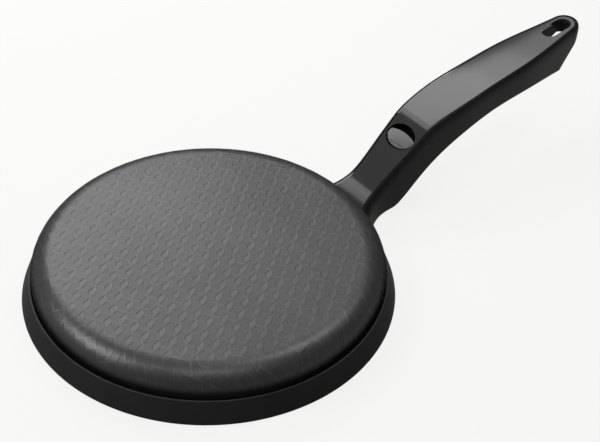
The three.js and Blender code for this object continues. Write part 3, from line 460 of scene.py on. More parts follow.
def inlay_half(station):
    """Inlay: its slightly crowned skin, rounded edge and underside."""
    middle, along, _, wide, _ = station
    half = wide - RIM_WIDTH
    rise = COVER_CROWN * min(1, half / NECK_HALF)

    def skin(d):
        return top_line(middle + along * d) - COVER_CROWN / 2 + rise * (1 - (d / half) ** 2)

    def under(d):
        return top_line(middle + along * d) - COVER_PLATE

    flat = half - INLAY_ROUND
    points = [(d, skin(d)) for d in (flat * i / INLAY_STEPS for i in range(INLAY_STEPS + 1))]
    edge = skin(half)
    points += [(half - INLAY_BEVEL, edge - INLAY_BEVEL_DROP), (half, edge - INLAY_ROUND)]
    return points + [(half, under(half)), (half / 2, under(half / 2)), (0, under(0))]


# Handle

STATION_STEP = 1.25
SKEW_RUN = 30
SKEW_POWER = 1.5
SKEW_ROUNDS = 4
END_TURNS = 18
HANDLE_SHARP = 50
INLAY_SHARP = 40
HOLLOW_SETBACK = 9
HOLLOW_SECTIONS = 48
BOSS_SIDES = 32
BORE_SIDES = 24
BORE_GAP = 0.25
BORE_CAP = 1
SOCKET_CAP = 1
OPENING_SIDES = 96
OPENING_MARGIN = 0.5
STEEP_NORMAL = 0.3


def ring_gap_x(y, z):
    """Where the handle's root meets the ring, a clearance away from it."""
    return math.sqrt((ring_radius(z) + CLEARANCE) ** 2 - y**2)


def handle_rings(half):
    """Sections from the ring to the tip.

    The first lie on the ring's cone, and the last fan round the end.
    """
    start = ring_gap_x(0, ROOT_UNDERSIDE)
    marks = list(np.arange(start, END_X, STATION_STEP)) + [HEEL_X, END_X]
    rings = []
    for mark in sorted(marks):
        lean = max(0, 1 - (mark - start) / SKEW_RUN) ** SKEW_POWER
        right = []
        for i, (d, z) in enumerate(half(straight(mark))):
            x = mark
            for _ in range(SKEW_ROUNDS if lean > 0 else 0):
                x = mark + (ring_gap_x(d, z) - start) * lean
                d, z = half(straight(x))[i]
            right.append((x, d, z))
        rings.append(right)
    for i in range(1, END_TURNS + 1):
        station = turned_end(math.pi / 2 * i / END_TURNS)
        middle, along, across = station[:3]
        rings.append([(middle + along * d, across * d, z) for d, z in half(station)])
    whole = []
    for right in rings:
        left = [(x, -y, z) for x, y, z in reversed(right[1:-1])]
        whole.append(right + left)
    return whole


def on_slope():
    """Place of the sloping flat's own frame: X up the slope, Z out of it."""
    turn = Matrix.Rotation(-math.radians(SWITCH_SLOPE), 4, "Y")
    return Matrix.Translation((SWITCH_X * MM, 0, SWITCH_HEIGHT * MM)) @ turn


def hanging_slot():
    return prism(slot_outline(HOLE_X, HOLE_LENGTH, HOLE_WIDTH), 0, 2 * TIP_TOP)


def handle_hollow():
    """Room inside the handle, from its root to the hanging hole."""
    start = FOOT_X + ROOT_SOLID
    end = HOLE_X - HOLE_LENGTH / 2 - HOLLOW_SETBACK
    sections = []
    for x in np.linspace(start, end, HOLLOW_SECTIONS):
        high, low = top_line(x), low_line(x) + HANDLE_WALL
        wide = top_half(x) - HANDLE_WALL - RIM_WIDTH / 2
        low_wide = low_half(x) - HANDLE_WALL
        upper = [(x, wide, high), (x, -wide, high)]
        sections.append(upper + [(x, -low_wide, low), (x, low_wide, low)])
    return loft("tool", sections)


def switch_well():
    """Room for the switch's body under its opening."""
    half = OPENING_HALF_LENGTH + SWITCH_WALL + 3 * CLEARANCE
    across = OPENING_HALF_WIDTH + SWITCH_WALL + CLEARANCE
    low = -COVER_PLATE - SWITCH_DEPTH - 3 * CLEARANCE
    return prism(rectangle(-half, half, -across, across), low, 0, on_slope())


def coupler_recess():
    start = FOOT_X + COUPLER_REACH - CLEARANCE
    end = start + COUPLER_LENGTH + 2 * CLEARANCE
    across = COUPLER_HALF + CLEARANCE
    top = ROOT_UNDERSIDE + HANDLE_WALL + SOCKET_CAP
    return prism(rectangle(start, end, -across, across), 0, top)


def end_pocket():
    """Pocket in the underside, round the hanging hole."""
    start = HOLE_X - HOLE_LENGTH / 2 - POCKET_START
    end = TIP_X - POCKET_WALL
    outline = slot_outline((start + end) / 2, end - start, 2 * (END_HALF - POCKET_WALL))
    return prism(outline, 0, top_line(HOLE_X) - HOLE_COLLAR)


def handle_body():
    piece = loft("handle_shell", handle_rings(body_half), HANDLE_SHARP, False)
    carve(piece, handle_hollow(), switch_well())
    head = SCREW_HEAD_RADIUS + CLEARANCE
    bosses, recesses, bores = [], [], []
    for x in GRIP_SCREWS:
        low, seat = low_line(x), low_line(x) + GRIP_SCREW_RECESS
        boss = circle(head + BOSS_WALL, BOSS_SIDES, x)
        bore = circle(SCREW_RADIUS + BORE_GAP, BORE_SIDES, x)
        bosses.append(prism(boss, low + HANDLE_WALL / 2, seat + BOSS_WALL))
        recesses.append(prism(circle(head, BOSS_SIDES, x), 0, seat))
        bores.append(prism(bore, 0, top_line(x) - COVER_PLATE - BORE_CAP))
    carve(piece, *bosses, operation="UNION")
    carve(piece, *recesses, *bores, coupler_recess(), end_pocket(), hanging_slot())
    even_normals(piece)
    return piece


def handle_inlay():
    piece = loft("handle_inlay", handle_rings(inlay_half), HANDLE_SHARP, False)
    outline = oval(OPENING_HALF_LENGTH, OPENING_HALF_WIDTH, OPENING_SIDES)
    opening = prism(outline, -2 * COVER_PLATE, 2 * COVER_PLATE, on_slope())
    carve(piece, opening, hanging_slot(), sharp=INLAY_SHARP)
    even_normals(piece)
    return piece


def paint_opening_shade(piece):
    """Gives the walls of the switch's opening the piece's second material, near black: painted
    shade in the opening.
    """
    flat = on_slope().inverted()
    half_length = OPENING_HALF_LENGTH + OPENING_MARGIN
    half_width = OPENING_HALF_WIDTH + OPENING_MARGIN
    for face in piece.data.polygons:
        x, y, _ = flat @ face.center
        upright = abs((flat.to_3x3() @ face.normal).z) < STEEP_NORMAL
        if upright and math.hypot(x / half_length, y / half_width) < MM:
            face.material_index = 1


# Ring

RING_SIDES = 288
RING_FOOT_ROUND = 0.7
RING_TOP_ROUND = 0.45
RING_LIP_ROUND = 0.15
RING_ROUND_STEPS = 6
RING_LIP_STEPS = 3
LEVEL_NORMAL = 0.5


def arc_points(centre, radius, start, end, steps):
    turns = [math.radians(start + (end - start) * i / steps) for i in range(steps + 1)]
    return [(centre[0] + radius * math.cos(t), centre[1] + radius * math.sin(t)) for t in turns]


def housing_ring():
    lean = math.degrees(math.atan2(RING_TAPER, RING_HEIGHT))
    slope_reach = 1 / math.cos(math.radians(lean))

    def outer_round(radius, z, start, end):
        centre = (ring_radius(z) - radius * slope_reach, z)
        return arc_points(centre, radius, start, end, RING_ROUND_STEPS)

    lip_centre = (LIP_RADIUS + RING_LIP_ROUND, RING_HEIGHT - RING_LIP_ROUND)
    ledge = LIP_RADIUS - LEDGE_WIDTH
    under = LEDGE_TOP - LEDGE_THICKNESS
    profile = [(RING_BASE_RADIUS - RING_WALL, 0)]
    profile += outer_round(RING_FOOT_ROUND, RING_FOOT_ROUND, -90, lean)
    profile += outer_round(RING_TOP_ROUND, RING_HEIGHT - RING_TOP_ROUND, lean, 90)
    profile += arc_points(lip_centre, RING_LIP_ROUND, 90, 180, RING_LIP_STEPS)
    profile += [(LIP_RADIUS, LEDGE_TOP), (ledge, LEDGE_TOP), (ledge, under)]
    profile += [(ring_radius(under) - RING_WALL, under)]
    return lathe("ring_skirt", profile, RING_SIDES)


def paint_land_highlight(piece):
    """Gives the narrow land at the ring's top the piece's second material, a lighter grey: a
    painted highlight along the ring's top edge.
    """
    for face in piece.data.polygons:
        high = face.center.z > (RING_HEIGHT - RING_TOP_ROUND) * MM
        if high and face.normal.z > LEVEL_NORMAL:
            face.material_index = 1


# Cooking plate's coat, with the low relief of rhombs. The pattern is drawn flat: the second of its
# steps is the sum of the others, and each of the three kinds of rhomb and of line has its height.

RHOMB_STEPS = np.array(((8.5, -3.11), (7.97, 6.31), (-0.53, 9.42)))
RHOMB_ORIGIN = np.array((-2.3, -1.75))
RHOMB_EDGE = 0.06
RHOMB_FLAT = 0.17
RHOMB_MIDDLE = 0.39
RHOMB_LINES = (0.045, 0.045, 0.033)
RHOMB_LEVELS = (0.0, -0.02, 0.0)
RHOMB_SPREAD = 0.4
RHOMB_SEED = 7
TILTED_KIND = 1
RHOMB_TILT = 2.6
RHOMB_TILT_TURN = 115
# Kinds of line that take a painted highlight in the coat's colour
HIGHLIGHT_LINES = (1, 2)
SHOULDER_STRETCH = math.pi / 2
SHOULDER_LINES = 0.2
SHOULDER_LEVEL = 0.2
COAT_BASE = 0.2
COAT_LOWEST = 11.2
COAT_THICKNESS = 0.3
COAT_FACES = 0.57
COAT_SHARP = 180
TINY = 1e-9


def dome(radius):
    """Radius, height and outward normal of the plate at a radius of the flat pattern.

    The pattern is stretched over the shoulder and runs straight down below it.
    """
    shoulder = np.clip((radius - FLAT_RADIUS) / PLATE_SHOULDER, 0, 1)
    turn = shoulder * math.pi / 2
    below = np.maximum(0, radius - PLATE_RADIUS) * SHOULDER_STRETCH
    flat = np.minimum(radius, FLAT_RADIUS)
    r = flat + PLATE_SHOULDER * np.sin(turn)
    crown = PLATE_CROWN * (1 - (flat / FLAT_RADIUS) ** 2)
    z = PLATE_TOP - PLATE_SHOULDER + PLATE_SHOULDER * np.cos(turn) + crown - below
    return r, z, np.sin(turn), np.cos(turn)


def rhomb_sides(k):
    """The two sides of a rhomb of one of the three kinds, from its first corner."""
    ahead = [*RHOMB_STEPS, -RHOMB_STEPS[0]]
    behind = [-RHOMB_STEPS[2], *RHOMB_STEPS]
    return (ahead[k] + ahead[k + 1]) / 3, (ahead[k] + behind[k]) / 3


def rhomb_places(reach):
    """First corner and kind of every rhomb that touches the plate."""
    pitch = np.linalg.norm(RHOMB_STEPS, axis=1)
    size = math.ceil(2 * reach / pitch.min())
    for i in range(-size, size + 1):
        for j in range(-size, size + 1):
            corner = RHOMB_ORIGIN + i * RHOMB_STEPS[0] + j * RHOMB_STEPS[1]
            if np.linalg.norm(corner) > reach + 2 * pitch.max():
                continue
            for k in range(3):
                first, second = rhomb_sides(k)
                ends = (corner, corner + first, corner + second, corner + first + second)
                if min(np.linalg.norm(end) for end in ends) <= reach:
                    yield corner, k


def rhomb_mesh(reach):
    """Plan points, heights, tilts, faces and face looks of every rhomb, a grid of quads each.

    A fine line of its own height runs along each side, and the rhombs of one kind tilt. A face's
    look is 1 on a tilted rhomb, below 0 on a line with painted highlight by its share, 0 elsewhere.
    """
    near = [0, RHOMB_EDGE, RHOMB_FLAT, RHOMB_MIDDLE]
    marks = np.array(near + [1 - mark for mark in reversed(near)])
    count = len(marks)
    last = count - 1
    low_corner = sum(RHOMB_LINES) / 3 + sum(RHOMB_LEVELS) / 3
    fall = math.tan(math.radians(RHOMB_TILT)) * heading(RHOMB_TILT_TURN)
    chance = np.random.default_rng(RHOMB_SEED)
    shares = {}

    def line_share(middle):
        """Random share of a line, the same for both of its rhombs: its middle lies on sixths."""
        steps = np.linalg.solve(RHOMB_STEPS[:2].T, middle - RHOMB_ORIGIN)
        mark = tuple(np.rint(6 * steps).astype(int))
        if mark not in shares:
            shares[mark] = chance.random()
        return shares[mark]

    def line_heights(line_shares, index, level):
        spreads = [1 + RHOMB_SPREAD * (2 * share - 1) for share in line_shares]
        return [RHOMB_LINES[index] * spread + level for spread in spreads]

    # Lines of the highlight kinds carry a painted highlight, by their share.
    def line_look(share, index):
        return -share if index in HIGHLIGHT_LINES else 0.0

    plan, relief, slant, faces, looks = [], [], [], [], []
    for corner, k in rhomb_places(reach):
        first, second = rhomb_sides(k)
        own, beside, before = (RHOMB_LEVELS[(k + n) % 3] for n in (0, 1, -1))
        along_first, along_second = k, (k - 1) % 3
        first_shares = [line_share(corner + first / 2 + v * second) for v in (0, 1)]
        second_shares = [line_share(corner + second / 2 + u * first) for u in (0, 1)]
        on_first = line_heights(first_shares, along_first, (own + beside) / 2)
        on_second = line_heights(second_shares, along_second, (own + before) / 2)
        base = len(plan)
        for a, u in enumerate(marks):
            for b, v in enumerate(marks):
                plan.append(corner + u * first + v * second)
                slant.append(0.0)
                if a in (0, last) and b in (0, last):
                    relief.append(low_corner)
                elif b in (0, last):
                    relief.append(on_first[b == last])
                elif a in (0, last):
                    relief.append(on_second[a == last])
                else:
                    relief.append(own)
                    if k == TILTED_KIND:
                        slant[-1] = -fall.dot((u - 0.5) * first + (v - 0.5) * second)
        for a in range(last):
            for b in range(last):
                p = base + a * count + b
                faces.append((p, p + count, p + count + 1, p + 1))
                look = float(k == TILTED_KIND)
                if b in (0, last - 1):
                    look = line_look(first_shares[b > 0], along_first)
                if a in (0, last - 1):
                    look = min(look, line_look(second_shares[a > 0], along_second))
                looks.append(look)
    return np.array(plan), np.array(relief), np.array(slant), faces, np.array(looks)


def cut_below(mesh, height):
    bm = bmesh.new()
    bm.from_mesh(mesh)
    everything = [*bm.verts, *bm.edges, *bm.faces]
    bmesh.ops.bisect_plane(bm, geom=everything, dist=SLIVER, plane_co=(0, 0, height * MM),
                           plane_no=(0, 0, 1), clear_inner=True)
    bm.to_mesh(mesh)
    bm.free()


def plate_coat():
    """Thin shell over the cooking plate, with the relief outside and a plain inside."""
    reach = PLATE_RADIUS + (PLATE_TOP - PLATE_SHOULDER - COAT_LOWEST) / SHOULDER_STRETCH
    plan, relief, slant, faces, looks = rhomb_mesh(reach)
    distance = np.maximum(np.hypot(plan[:, 0], plan[:, 1]), TINY)
    out = plan / distance[:, None]
    r, z, lean, up = dome(distance)
    level = np.maximum(0, 1 - lean / SHOULDER_LEVEL)
    lift = COAT_BASE + relief * (1 + SHOULDER_LINES * lean) + slant * level
    looks *= np.where(looks > 0, level[[face[0] for face in faces]], 1)
    verts = np.column_stack((out * (r + lift * lean)[:, None], z + lift * up))
    piece = piece_of("plate_coat", verts, faces, COAT_SHARP, looks)
    cut_below(piece.data, COAT_LOWEST)
    shell = piece.modifiers.new("thickness", "SOLIDIFY")
    shell.thickness = COAT_THICKNESS * MM
    shell.offset = -1
    piece.vertex_groups.new(name="inside")
    shell.shell_vertex_group = "inside"
    plain = piece.modifiers.new("plain inside", "DECIMATE")
    plain.vertex_group = "inside"
    plain.ratio = COAT_FACES
    return piece


# Rocker

ROCKER_SIDES = 144
ROCKER_SHARP = 40
PAD_ROUND = 0.35
BASE_ROUND = 0.2
PIN_SIDES = 24
MARK_REACH = 5
MARK_LENGTH = 11.4
MARK_WIDTH = 1.4
MARK_DEPTH = 0.4
MARK_RISE = 0.06
MARK_ROUND = 0.05
MARK_END_STEPS = 8
MARK_ROUND_STEPS = 2


def put_on_rocker(piece):
    pivot = Matrix.Translation((0, 0, -ROCKER_PIVOT_DEPTH * MM))
    tilt = Matrix.Rotation(math.radians(ROCKER_TILT), 4, "Y")
    piece.data.transform(on_slope() @ pivot @ tilt)
    return piece


def inset_outline(outline, inset):
    """A convex outline drawn in by an inset."""
    points = np.array(outline, float)
    ahead, behind = np.roll(points, -1, 0) - points, points - np.roll(points, 1, 0)
    along = ahead / np.linalg.norm(ahead, axis=1)[:, None]
    along = along + behind / np.linalg.norm(behind, axis=1)[:, None]
    along /= np.linalg.norm(along, axis=1)[:, None]
    inward = np.column_stack((-along[:, 1], along[:, 0]))
    return points + inward * inset


def rounded_block(name, outline, low, high, edge, steps=4):
    """An outline raised between two heights, with its upper edge rounded."""
    rings = [[(x, y, low) for x, y in outline]]
    for i in range(steps + 1):
        turn = math.pi / 2 * i / steps
        inset = edge * (1 - math.cos(turn))
        z = high - edge + edge * math.sin(turn)
        rings.append([(x, y, z) for x, y in inset_outline(outline, inset)])
    return loft(name, rings, ROCKER_SHARP)


def rocker_button():
    """The pad: an oval whose far side is cut off by an arc."""
    centre = PAD_ARC_REACH - PAD_ARC_RADIUS
    outline = []
    for x, y in oval(ROCKER_HALF_LENGTH, ROCKER_HALF_WIDTH, ROCKER_SIDES):
        edge = centre + math.sqrt(PAD_ARC_RADIUS**2 - y**2)
        outline.append((min(x, edge), y))
    low = ROCKER_TOP - PAD_HOLLOW
    return put_on_rocker(rounded_block("rocker_pad", outline, low, ROCKER_TOP, PAD_ROUND))


def rocker_base():
    """The oval foot that carries the pad, with the rocker's two stub pins."""
    outline = oval(ROCKER_HALF_LENGTH, ROCKER_HALF_WIDTH, ROCKER_SIDES)
    low, high = ROCKER_TOP - ROCKER_SKIRT, ROCKER_TOP - PAD_HOLLOW
    piece = rounded_block("rocker_base", outline, low, high, BASE_ROUND)
    reach = ROCKER_HALF_WIDTH + ROCKER_GAP + SWITCH_WALL - CLEARANCE
    lying = Matrix.Rotation(math.pi / 2, 4, "X")
    pin = prism(circle(ROCKER_PIN_RADIUS, PIN_SIDES), -reach, reach, lying)
    carve(piece, pin, operation="UNION")
    return put_on_rocker(piece)


def rocker_mark():
    """The dark bar let into the pad, across its pan side."""
    bar = slot_outline(0, MARK_LENGTH, MARK_WIDTH, MARK_END_STEPS)
    outline = [(-MARK_REACH - y, x) for x, y in bar]
    low, high = ROCKER_TOP - MARK_DEPTH, ROCKER_TOP + MARK_RISE
    piece = rounded_block("rocker_mark", outline, low, high, MARK_ROUND, MARK_ROUND_STEPS)
    return put_on_rocker(piece)


# Screws seen from below

SCREW_SIDES = 32
CROSS_HALF_LENGTH = 1.5
CROSS_HALF_WIDTH = 0.35
CROSS_START = -1
COVER_CROSS_DEPTH = 0.9
COVER_CROSS_TURN = 20
COVER_HEAD_SINK = 0.05
COVER_HEAD_BEVEL = 0.15
GRIP_CROSS_DEPTH = 1.0
GRIP_CROSS_TURN = 35
GRIP_HEAD_INSET = 0.9
GRIP_HEAD_BEVEL = 0.3
GRIP_HEAD_BEVEL_RISE = 0.25


def cross_recess(depth, place):
    far, near = CROSS_HALF_LENGTH, CROSS_HALF_WIDTH
    arms = (rectangle(-far, far, -near, near), rectangle(-near, near, -far, far))
    return [prism(arm, CROSS_START, depth, place) for arm in arms]


def cover_screw(name, x, y):
    profile = [(0, COVER_HEAD_SINK), (SCREW_HEAD_RADIUS - COVER_HEAD_BEVEL, COVER_HEAD_SINK)]
    profile += [(SCREW_HEAD_RADIUS, COVER_HEAD_SINK + COVER_HEAD_BEVEL)]
    profile += [(SCREW_RADIUS, SCREW_HEAD_RADIUS - SCREW_RADIUS)]
    profile += [(SCREW_RADIUS, COVER_SCREW_LENGTH), (0, COVER_SCREW_LENGTH)]
    piece = lathe(name, profile, SCREW_SIDES)
    turn = Matrix.Rotation(math.radians(COVER_CROSS_TURN), 4, "Z")
    carve(piece, *cross_recess(COVER_CROSS_DEPTH, turn))
    piece.data.transform(Matrix.Translation((x * MM, y * MM, 0)))
    return piece


def grip_screw(name, x):
    head, wide = SCREW_HEAD_HEIGHT, SCREW_HEAD_RADIUS
    profile = [(0, -head), (wide - GRIP_HEAD_INSET, -head)]
    profile += [(wide - GRIP_HEAD_BEVEL, -head + GRIP_HEAD_BEVEL_RISE)]
    profile += [(wide, -head / 2), (wide, -SEAT_GAP), (SCREW_RADIUS, -SEAT_GAP)]
    profile += [(SCREW_RADIUS, GRIP_SCREW_LENGTH), (0, GRIP_SCREW_LENGTH)]
    piece = lathe(name, profile, SCREW_SIDES)
    turn = Matrix.Rotation(math.radians(GRIP_CROSS_TURN), 4, "Z")
    carve(piece, *cross_recess(GRIP_CROSS_DEPTH, Matrix.Translation((0, 0, -head * MM)) @ turn))
    seat = low_line(x) + GRIP_SCREW_RECESS
    piece.data.transform(Matrix.Translation((x * MM, 0, seat * MM)))
    return piece


# Materials. Scales of noise are for a metre, and the grain's depth is in metres.

CLOUD_SCALE = 22
CLOUD_DETAIL = 3
CLOUD_ENDS = (0.3, 0.7)
GRAIN_DETAIL = 4
GRAIN_DEPTH = 0.0002
SPECKLE = 0.05
MOULD_GRAIN = 2600
METAL_GRAIN = 1500
WIRE_GRAIN = 1800
RHOMB_POLISH = 0.02
# Share by which the painted highlight lightens a line
LINE_HIGHLIGHT_GAIN = 0.34
# Painted shade: heights between which the coat's colour darkens towards the ring, and the least
# share of it kept
PAINTED_SHADE_START = 26
PAINTED_SHADE_END = 17
PAINTED_SHADE_LEAST = 0.08


def new_material(name):
    made = bpy.data.materials.new(name)
    made.use_nodes = True
    return made


def parts_of(made):
    tree = made.node_tree
    return tree.nodes, tree.links, tree.nodes["Principled BSDF"]


def calculate(made, operation, *values):
    """Output of a math node whose inputs are other outputs or plain numbers."""
    nodes, links, _ = parts_of(made)
    step = nodes.new("ShaderNodeMath")
    step.operation = operation
    for socket, value in zip(step.inputs, values):
        if isinstance(value, float):
            socket.default_value = value
        else:
            links.new(value, socket)
    return step.outputs[0]


def map_range(made, value, given, wanted, kind="LINEAR"):
    """Output of a node that maps the given range of a value to the wanted one."""
    nodes, links, _ = parts_of(made)
    step = nodes.new("ShaderNodeMapRange")
    step.interpolation_type = kind
    names = ("From Min", "From Max", "To Min", "To Max")
    for name, end in zip(names, (*given, *wanted)):
        step.inputs[name].default_value = end
    links.new(value, step.inputs["Value"])
    return step.outputs["Result"]


def material(name, colour, roughness, metallic=0.0, specular=0.5, edge=1.0, tone=0.15, grain=900,
             bump=0.02):
    """Principled surface whose colour and roughness vary a little, with a fine grain."""
    made = new_material(name)
    nodes, links, surface = parts_of(made)
    surface.inputs["Metallic"].default_value = metallic
    surface.inputs["Specular IOR Level"].default_value = specular
    surface.inputs["Specular Tint"].default_value = (edge, edge, edge, 1)
    place = nodes.new("ShaderNodeTexCoord")

    def noise(scale, detail):
        texture = nodes.new("ShaderNodeTexNoise")
        texture.inputs["Scale"].default_value = scale
        texture.inputs["Detail"].default_value = detail
        links.new(place.outputs["Object"], texture.inputs["Vector"])
        return texture.outputs["Fac"]

    cloud, fine = noise(CLOUD_SCALE, CLOUD_DETAIL), noise(grain, GRAIN_DETAIL)
    shade = nodes.new("ShaderNodeValToRGB")
    tones = (1 - tone, 1 + tone)
    for element, position, factor in zip(shade.color_ramp.elements, CLOUD_ENDS, tones):
        element.position = position
        element.color = (*(c * factor for c in colour), 1)
    links.new(cloud, shade.inputs["Fac"])
    links.new(shade.outputs["Color"], surface.inputs["Base Color"])
    ends = (roughness * (1 - SPECKLE), roughness * (1 + SPECKLE))
    links.new(map_range(made, fine, (0, 1), ends), surface.inputs["Roughness"])
    relief = nodes.new("ShaderNodeBump")
    relief.inputs["Strength"].default_value = bump
    relief.inputs["Distance"].default_value = GRAIN_DEPTH
    links.new(fine, relief.inputs["Height"])
    links.new(relief.outputs["Normal"], surface.inputs["Normal"])
    return made


def coat_look(made):
    nodes, _, _ = parts_of(made)
    look = nodes.new("ShaderNodeAttribute")
    look.attribute_name = LOOK
    return look.outputs["Fac"]


def scale_colour(made, factor):
    nodes, links, surface = parts_of(made)
    colour = surface.inputs["Base Color"]
    scaled = nodes.new("ShaderNodeVectorMath")
    scaled.operation = "SCALE"
    links.new(colour.links[0].from_socket, scaled.inputs[0])
    links.new(factor, scaled.inputs["Scale"])
    links.new(scaled.outputs[0], colour)


def polish_rhombs(made, amount):
    """Lowers the roughness where the mesh says that a rhomb is smooth."""
    _, links, surface = parts_of(made)
    rough = surface.inputs["Roughness"]
    before = rough.links[0].from_socket
    links.new(calculate(made, "MULTIPLY_ADD", coat_look(made), -amount, before), rough)


def paint_line_highlights(made, amount):
    """Lightens the colour where the mesh marks a fine line for it: a painted highlight on those
    lines.
    """
    scale_colour(made, map_range(made, coat_look(made), (0, -1), (1, 1 + amount)))


def paint_low_shade(made, low, high, least):
    """Darkens the colour towards the foot of the piece, from a height down to a lower one: painted
    shade where the plate's shoulder meets the ring.
    """
    nodes, links, _ = parts_of(made)
    place = nodes.new("ShaderNodeTexCoord")
    split = nodes.new("ShaderNodeSeparateXYZ")
    links.new(place.outputs["Object"], split.inputs[0])
    heights = (low * MM, high * MM)
    scale_colour(made, map_range(made, split.outputs["Z"], heights, (least, 1), "SMOOTHSTEP"))


def grey(value):
    return (value, value, value)


MATERIALS = {
    "coated_aluminium": material(
        "coat", grey(0.079), 0.38, metallic=0.6, specular=0.0, edge=0.1, tone=0.06, grain=2200,
        bump=0.2),
    "black_plastic": material(
        "black plastic", grey(0.011), 0.4, specular=0.055, tone=0.08, grain=MOULD_GRAIN, bump=0.06),
    "ring_plastic": material(
        "ring plastic", grey(0.019), 0.6, specular=0.022, tone=0.08, grain=MOULD_GRAIN, bump=0.06),
    # Lighter grey for the ring's top land: a painted highlight.
    "land_highlight_plastic": material(
        "land highlight plastic", grey(0.05), 0.5, specular=0.1, tone=0.08, grain=MOULD_GRAIN, bump=0.05),
    "inlay_plastic": material(
        "inlay plastic", grey(0.029), 0.1, specular=0.78, tone=0.05, grain=400, bump=0.004),
    "grey_plastic": material(
        "grey plastic", grey(0.087), 0.38, specular=0.5, tone=0.06, grain=MOULD_GRAIN, bump=0.05),
    "mark_plastic": material(
        "mark plastic", grey(0.044), 0.42, specular=0.37, tone=0.06, grain=MOULD_GRAIN, bump=0.05),
    # Near black for the switch's opening and the rocker's foot: painted shade.
    "painted_shade_plastic": material(
        "painted shade plastic", grey(0.003), 0.6, specular=0.02, tone=0.08, grain=MOULD_GRAIN, bump=0.05),
    "silicone": material("silicone", grey(0.03), 0.65, specular=0.3),
    "steel": material(
        "steel", (0.62, 0.62, 0.63), 0.32, metallic=1.0, grain=METAL_GRAIN, bump=0.05),
    "brass": material(
        "brass", (0.72, 0.55, 0.25), 0.34, metallic=1.0, grain=METAL_GRAIN, bump=0.05),
    "felt": material(
        "felt", (0.7, 0.66, 0.55), 0.95, specular=0.2, tone=0.2, grain=1200, bump=0.6),
    "ceramic": material("ceramic", (0.78, 0.76, 0.7), 0.55, tone=0.08, grain=1800, bump=0.1),
    "brown_wire": material("brown wire", (0.2, 0.09, 0.045), 0.5, grain=WIRE_GRAIN),
    "blue_wire": material("blue wire", (0.05, 0.14, 0.42), 0.5, grain=WIRE_GRAIN),
    "green_wire": material("green wire", (0.12, 0.33, 0.09), 0.5, grain=WIRE_GRAIN),
}

coat = MATERIALS["coated_aluminium"]
polish_rhombs(coat, RHOMB_POLISH)
# Painted highlights on some of the coat's fine lines.
paint_line_highlights(coat, LINE_HIGHLIGHT_GAIN)
# Painted shade on the coat's shoulder towards the ring.
paint_low_shade(coat, PAINTED_SHADE_END, PAINTED_SHADE_START, PAINTED_SHADE_LEAST)


# Pieces

COVER_SCREW_COUNT = 4
COVER_SCREW_TURN = 45


def dress(piece, body, slot, *nodes, finish=()):
    """Puts a piece on its body, in place of the nodes named.

    It takes its slot's material, or those of its finish.
    """
    piece.data.materials.clear()
    for name in finish or (slot,):
        piece.data.materials.append(MATERIALS[name])
    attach(piece, body)
    if nodes:
        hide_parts(*nodes)


for part in frame["record"]["subparts"]:
    for place in frame["nodes"][part["node"]].material_slots:
        place.material = MATERIALS[part["material_slot"]]

dress(plate_coat(), "pan", "coated_aluminium")
ring = housing_ring()
# The ring's top land takes a painted highlight.
dress(ring, "pan", "black_plastic", "housing_ring", finish=["ring_plastic", "land_highlight_plastic"])
paint_land_highlight(ring)
dress(handle_body(), "pan", "black_plastic", "handle_body")
inlay = handle_inlay()
# The walls of the switch's opening are near black: painted shade.
dress(inlay, "pan", "inlay_plastic", "handle_cover", finish=["inlay_plastic", "painted_shade_plastic"])
paint_opening_shade(inlay)
dress(rocker_button(), "rocker", "grey_plastic", "rocker_button")
# The rocker's foot, down in the well, is near black all over: painted shade.
dress(rocker_base(), "rocker", "black_plastic", finish=["painted_shade_plastic"])
dress(rocker_mark(), "rocker", "grey_plastic", finish=["mark_plastic"])
for number in range(COVER_SCREW_COUNT):
    turn = COVER_SCREW_TURN + 360 / COVER_SCREW_COUNT * number
    place = (LIP_RADIUS - COVER_SCREW_INSET) * heading(turn)
    screw = cover_screw(f"cover_screw_head_{number + 1}", *place)
    dress(screw, "pan", "steel", f"cover_screw_{number + 1}")
for number, x in enumerate(GRIP_SCREWS):
    screw = grip_screw(f"grip_screw_head_{number + 1}", x)
    dress(screw, "pan", "steel", f"grip_screw_{number + 1}")


# Stage. Seen directly, in a reflection or through a piece, the floor is mostly its white glow.

FLOOR_HALF = 4000
FLOOR_Z = -0.2
FLOOR_COLOUR = (0.86, 0.86, 0.855, 1)
FLOOR_ROUGHNESS = 0.9
FLOOR_GLOW = (0.93, 0.93, 0.9207, 1)
FLOOR_GLOW_SHARE = 0.9
WORLD_COLOUR = (0.1, 0.1, 0.1, 1)
CAMERA_PLACE = (-401.9, -541.5, 626.3)
CAMERA_AHEAD = (0.4995, 0.5746, -0.6484)
CAMERA_RIGHT = (0.7696, -0.6380, 0.0275)
CAMERA_LENS = 93.18
CAMERA_SENSOR = 36
CAMERA_FAR_METRES = 100

# Long lamp over the handle: its place, and runs along X with their watts for each millimetre
STRIP_Y = 407
STRIP_Z = 626
STRIP_DEPTH = 145
STRIP_RUNS = (
    (0, 44, 0.00056),
    (44, 140, 0.00076),
    (140, 600, 0.00116),
    (600, 690, 0.00096),
    (690, 770, 0.0006),
)


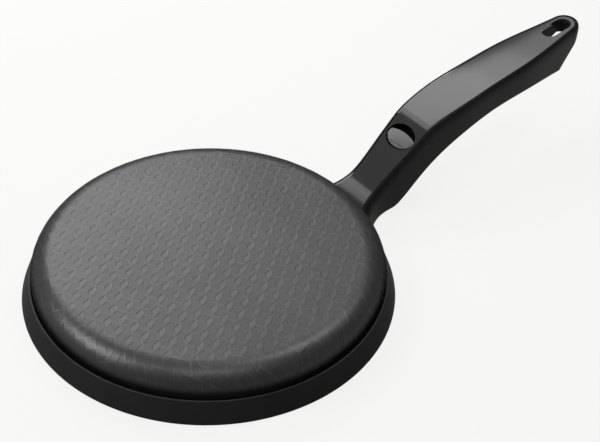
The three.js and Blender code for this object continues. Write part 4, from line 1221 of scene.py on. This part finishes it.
def floor():
    corners = rectangle(-FLOOR_HALF, FLOOR_HALF, -FLOOR_HALF, FLOOR_HALF)
    piece = piece_of("floor", [(x, y, FLOOR_Z) for x, y in corners], [(0, 1, 2, 3)])
    made = new_material("floor")
    nodes, links, surface = parts_of(made)
    surface.inputs["Base Color"].default_value = FLOOR_COLOUR
    surface.inputs["Roughness"].default_value = FLOOR_ROUGHNESS
    surface.inputs["Specular IOR Level"].default_value = 0.0
    glow = nodes.new("ShaderNodeEmission")
    glow.inputs["Color"].default_value = FLOOR_GLOW
    rays = nodes.new("ShaderNodeLightPath").outputs
    seen = calculate(made, "MAXIMUM", rays["Is Camera Ray"], rays["Is Glossy Ray"])
    seen = calculate(made, "MAXIMUM", seen, rays["Is Transmission Ray"])
    mix = nodes.new("ShaderNodeMixShader")
    links.new(calculate(made, "MULTIPLY", seen, FLOOR_GLOW_SHARE), mix.inputs[0])
    links.new(surface.outputs[0], mix.inputs[1])
    links.new(glow.outputs[0], mix.inputs[2])
    links.new(mix.outputs[0], nodes["Material Output"].inputs["Surface"])
    piece.data.materials.append(made)


def softbox(name, place, aim, wide, high, watts):
    lamp = bpy.data.lights.new(name, "AREA")
    lamp.shape = "RECTANGLE"
    lamp.size, lamp.size_y = wide * MM, high * MM
    lamp.energy = watts
    holder = bpy.data.objects.new(name, lamp)
    bpy.context.scene.collection.objects.link(holder)
    holder.location = Vector(place) * MM
    holder.rotation_euler = (Vector(aim) - Vector(place)).to_track_quat("-Z", "Y").to_euler()


def strip():
    for start, end, share in STRIP_RUNS:
        x, wide = (start + end) / 2, end - start
        softbox("strip", (x, STRIP_Y, STRIP_Z), (x, STRIP_Y, 0), wide, STRIP_DEPTH, share * wide)


def world():
    made = bpy.data.worlds.new("studio")
    bpy.context.scene.world = made
    made.use_nodes = True
    back = made.node_tree.nodes["Background"]
    back.inputs["Color"].default_value = WORLD_COLOUR
    back.inputs["Strength"].default_value = 1.0


def camera():
    lens = bpy.data.cameras.new("camera")
    lens.sensor_width = CAMERA_SENSOR
    lens.lens = CAMERA_LENS
    lens.clip_end = CAMERA_FAR_METRES
    holder = bpy.data.objects.new("camera", lens)
    bpy.context.scene.collection.objects.link(holder)
    ahead = Vector(CAMERA_AHEAD).normalized()
    right = Vector(CAMERA_RIGHT)
    right = (right - ahead * right.dot(ahead)).normalized()
    up = right.cross(ahead)
    turn = Matrix((right, up, -ahead)).transposed().to_4x4()
    holder.matrix_world = Matrix.Translation(Vector(CAMERA_PLACE) * MM) @ turn
    bpy.context.scene.camera = holder


floor()
world()
camera()
softbox("key", place=(265, 815, 626), aim=(265, 815, 0), wide=650, high=610, watts=8.8)
strip()
softbox("left", place=(-662, 337, 669), aim=(0, 0, 20), wide=420, high=420, watts=5.0)
softbox("top", place=(380, -20, 816), aim=(100, 0, 30), wide=330, high=380, watts=2.25)
softbox("front", place=(-228, -304, 816), aim=(-30, -60, 20), wide=420, high=300, watts=1.25)
bpy.context.scene.view_settings.view_transform = "Standard"
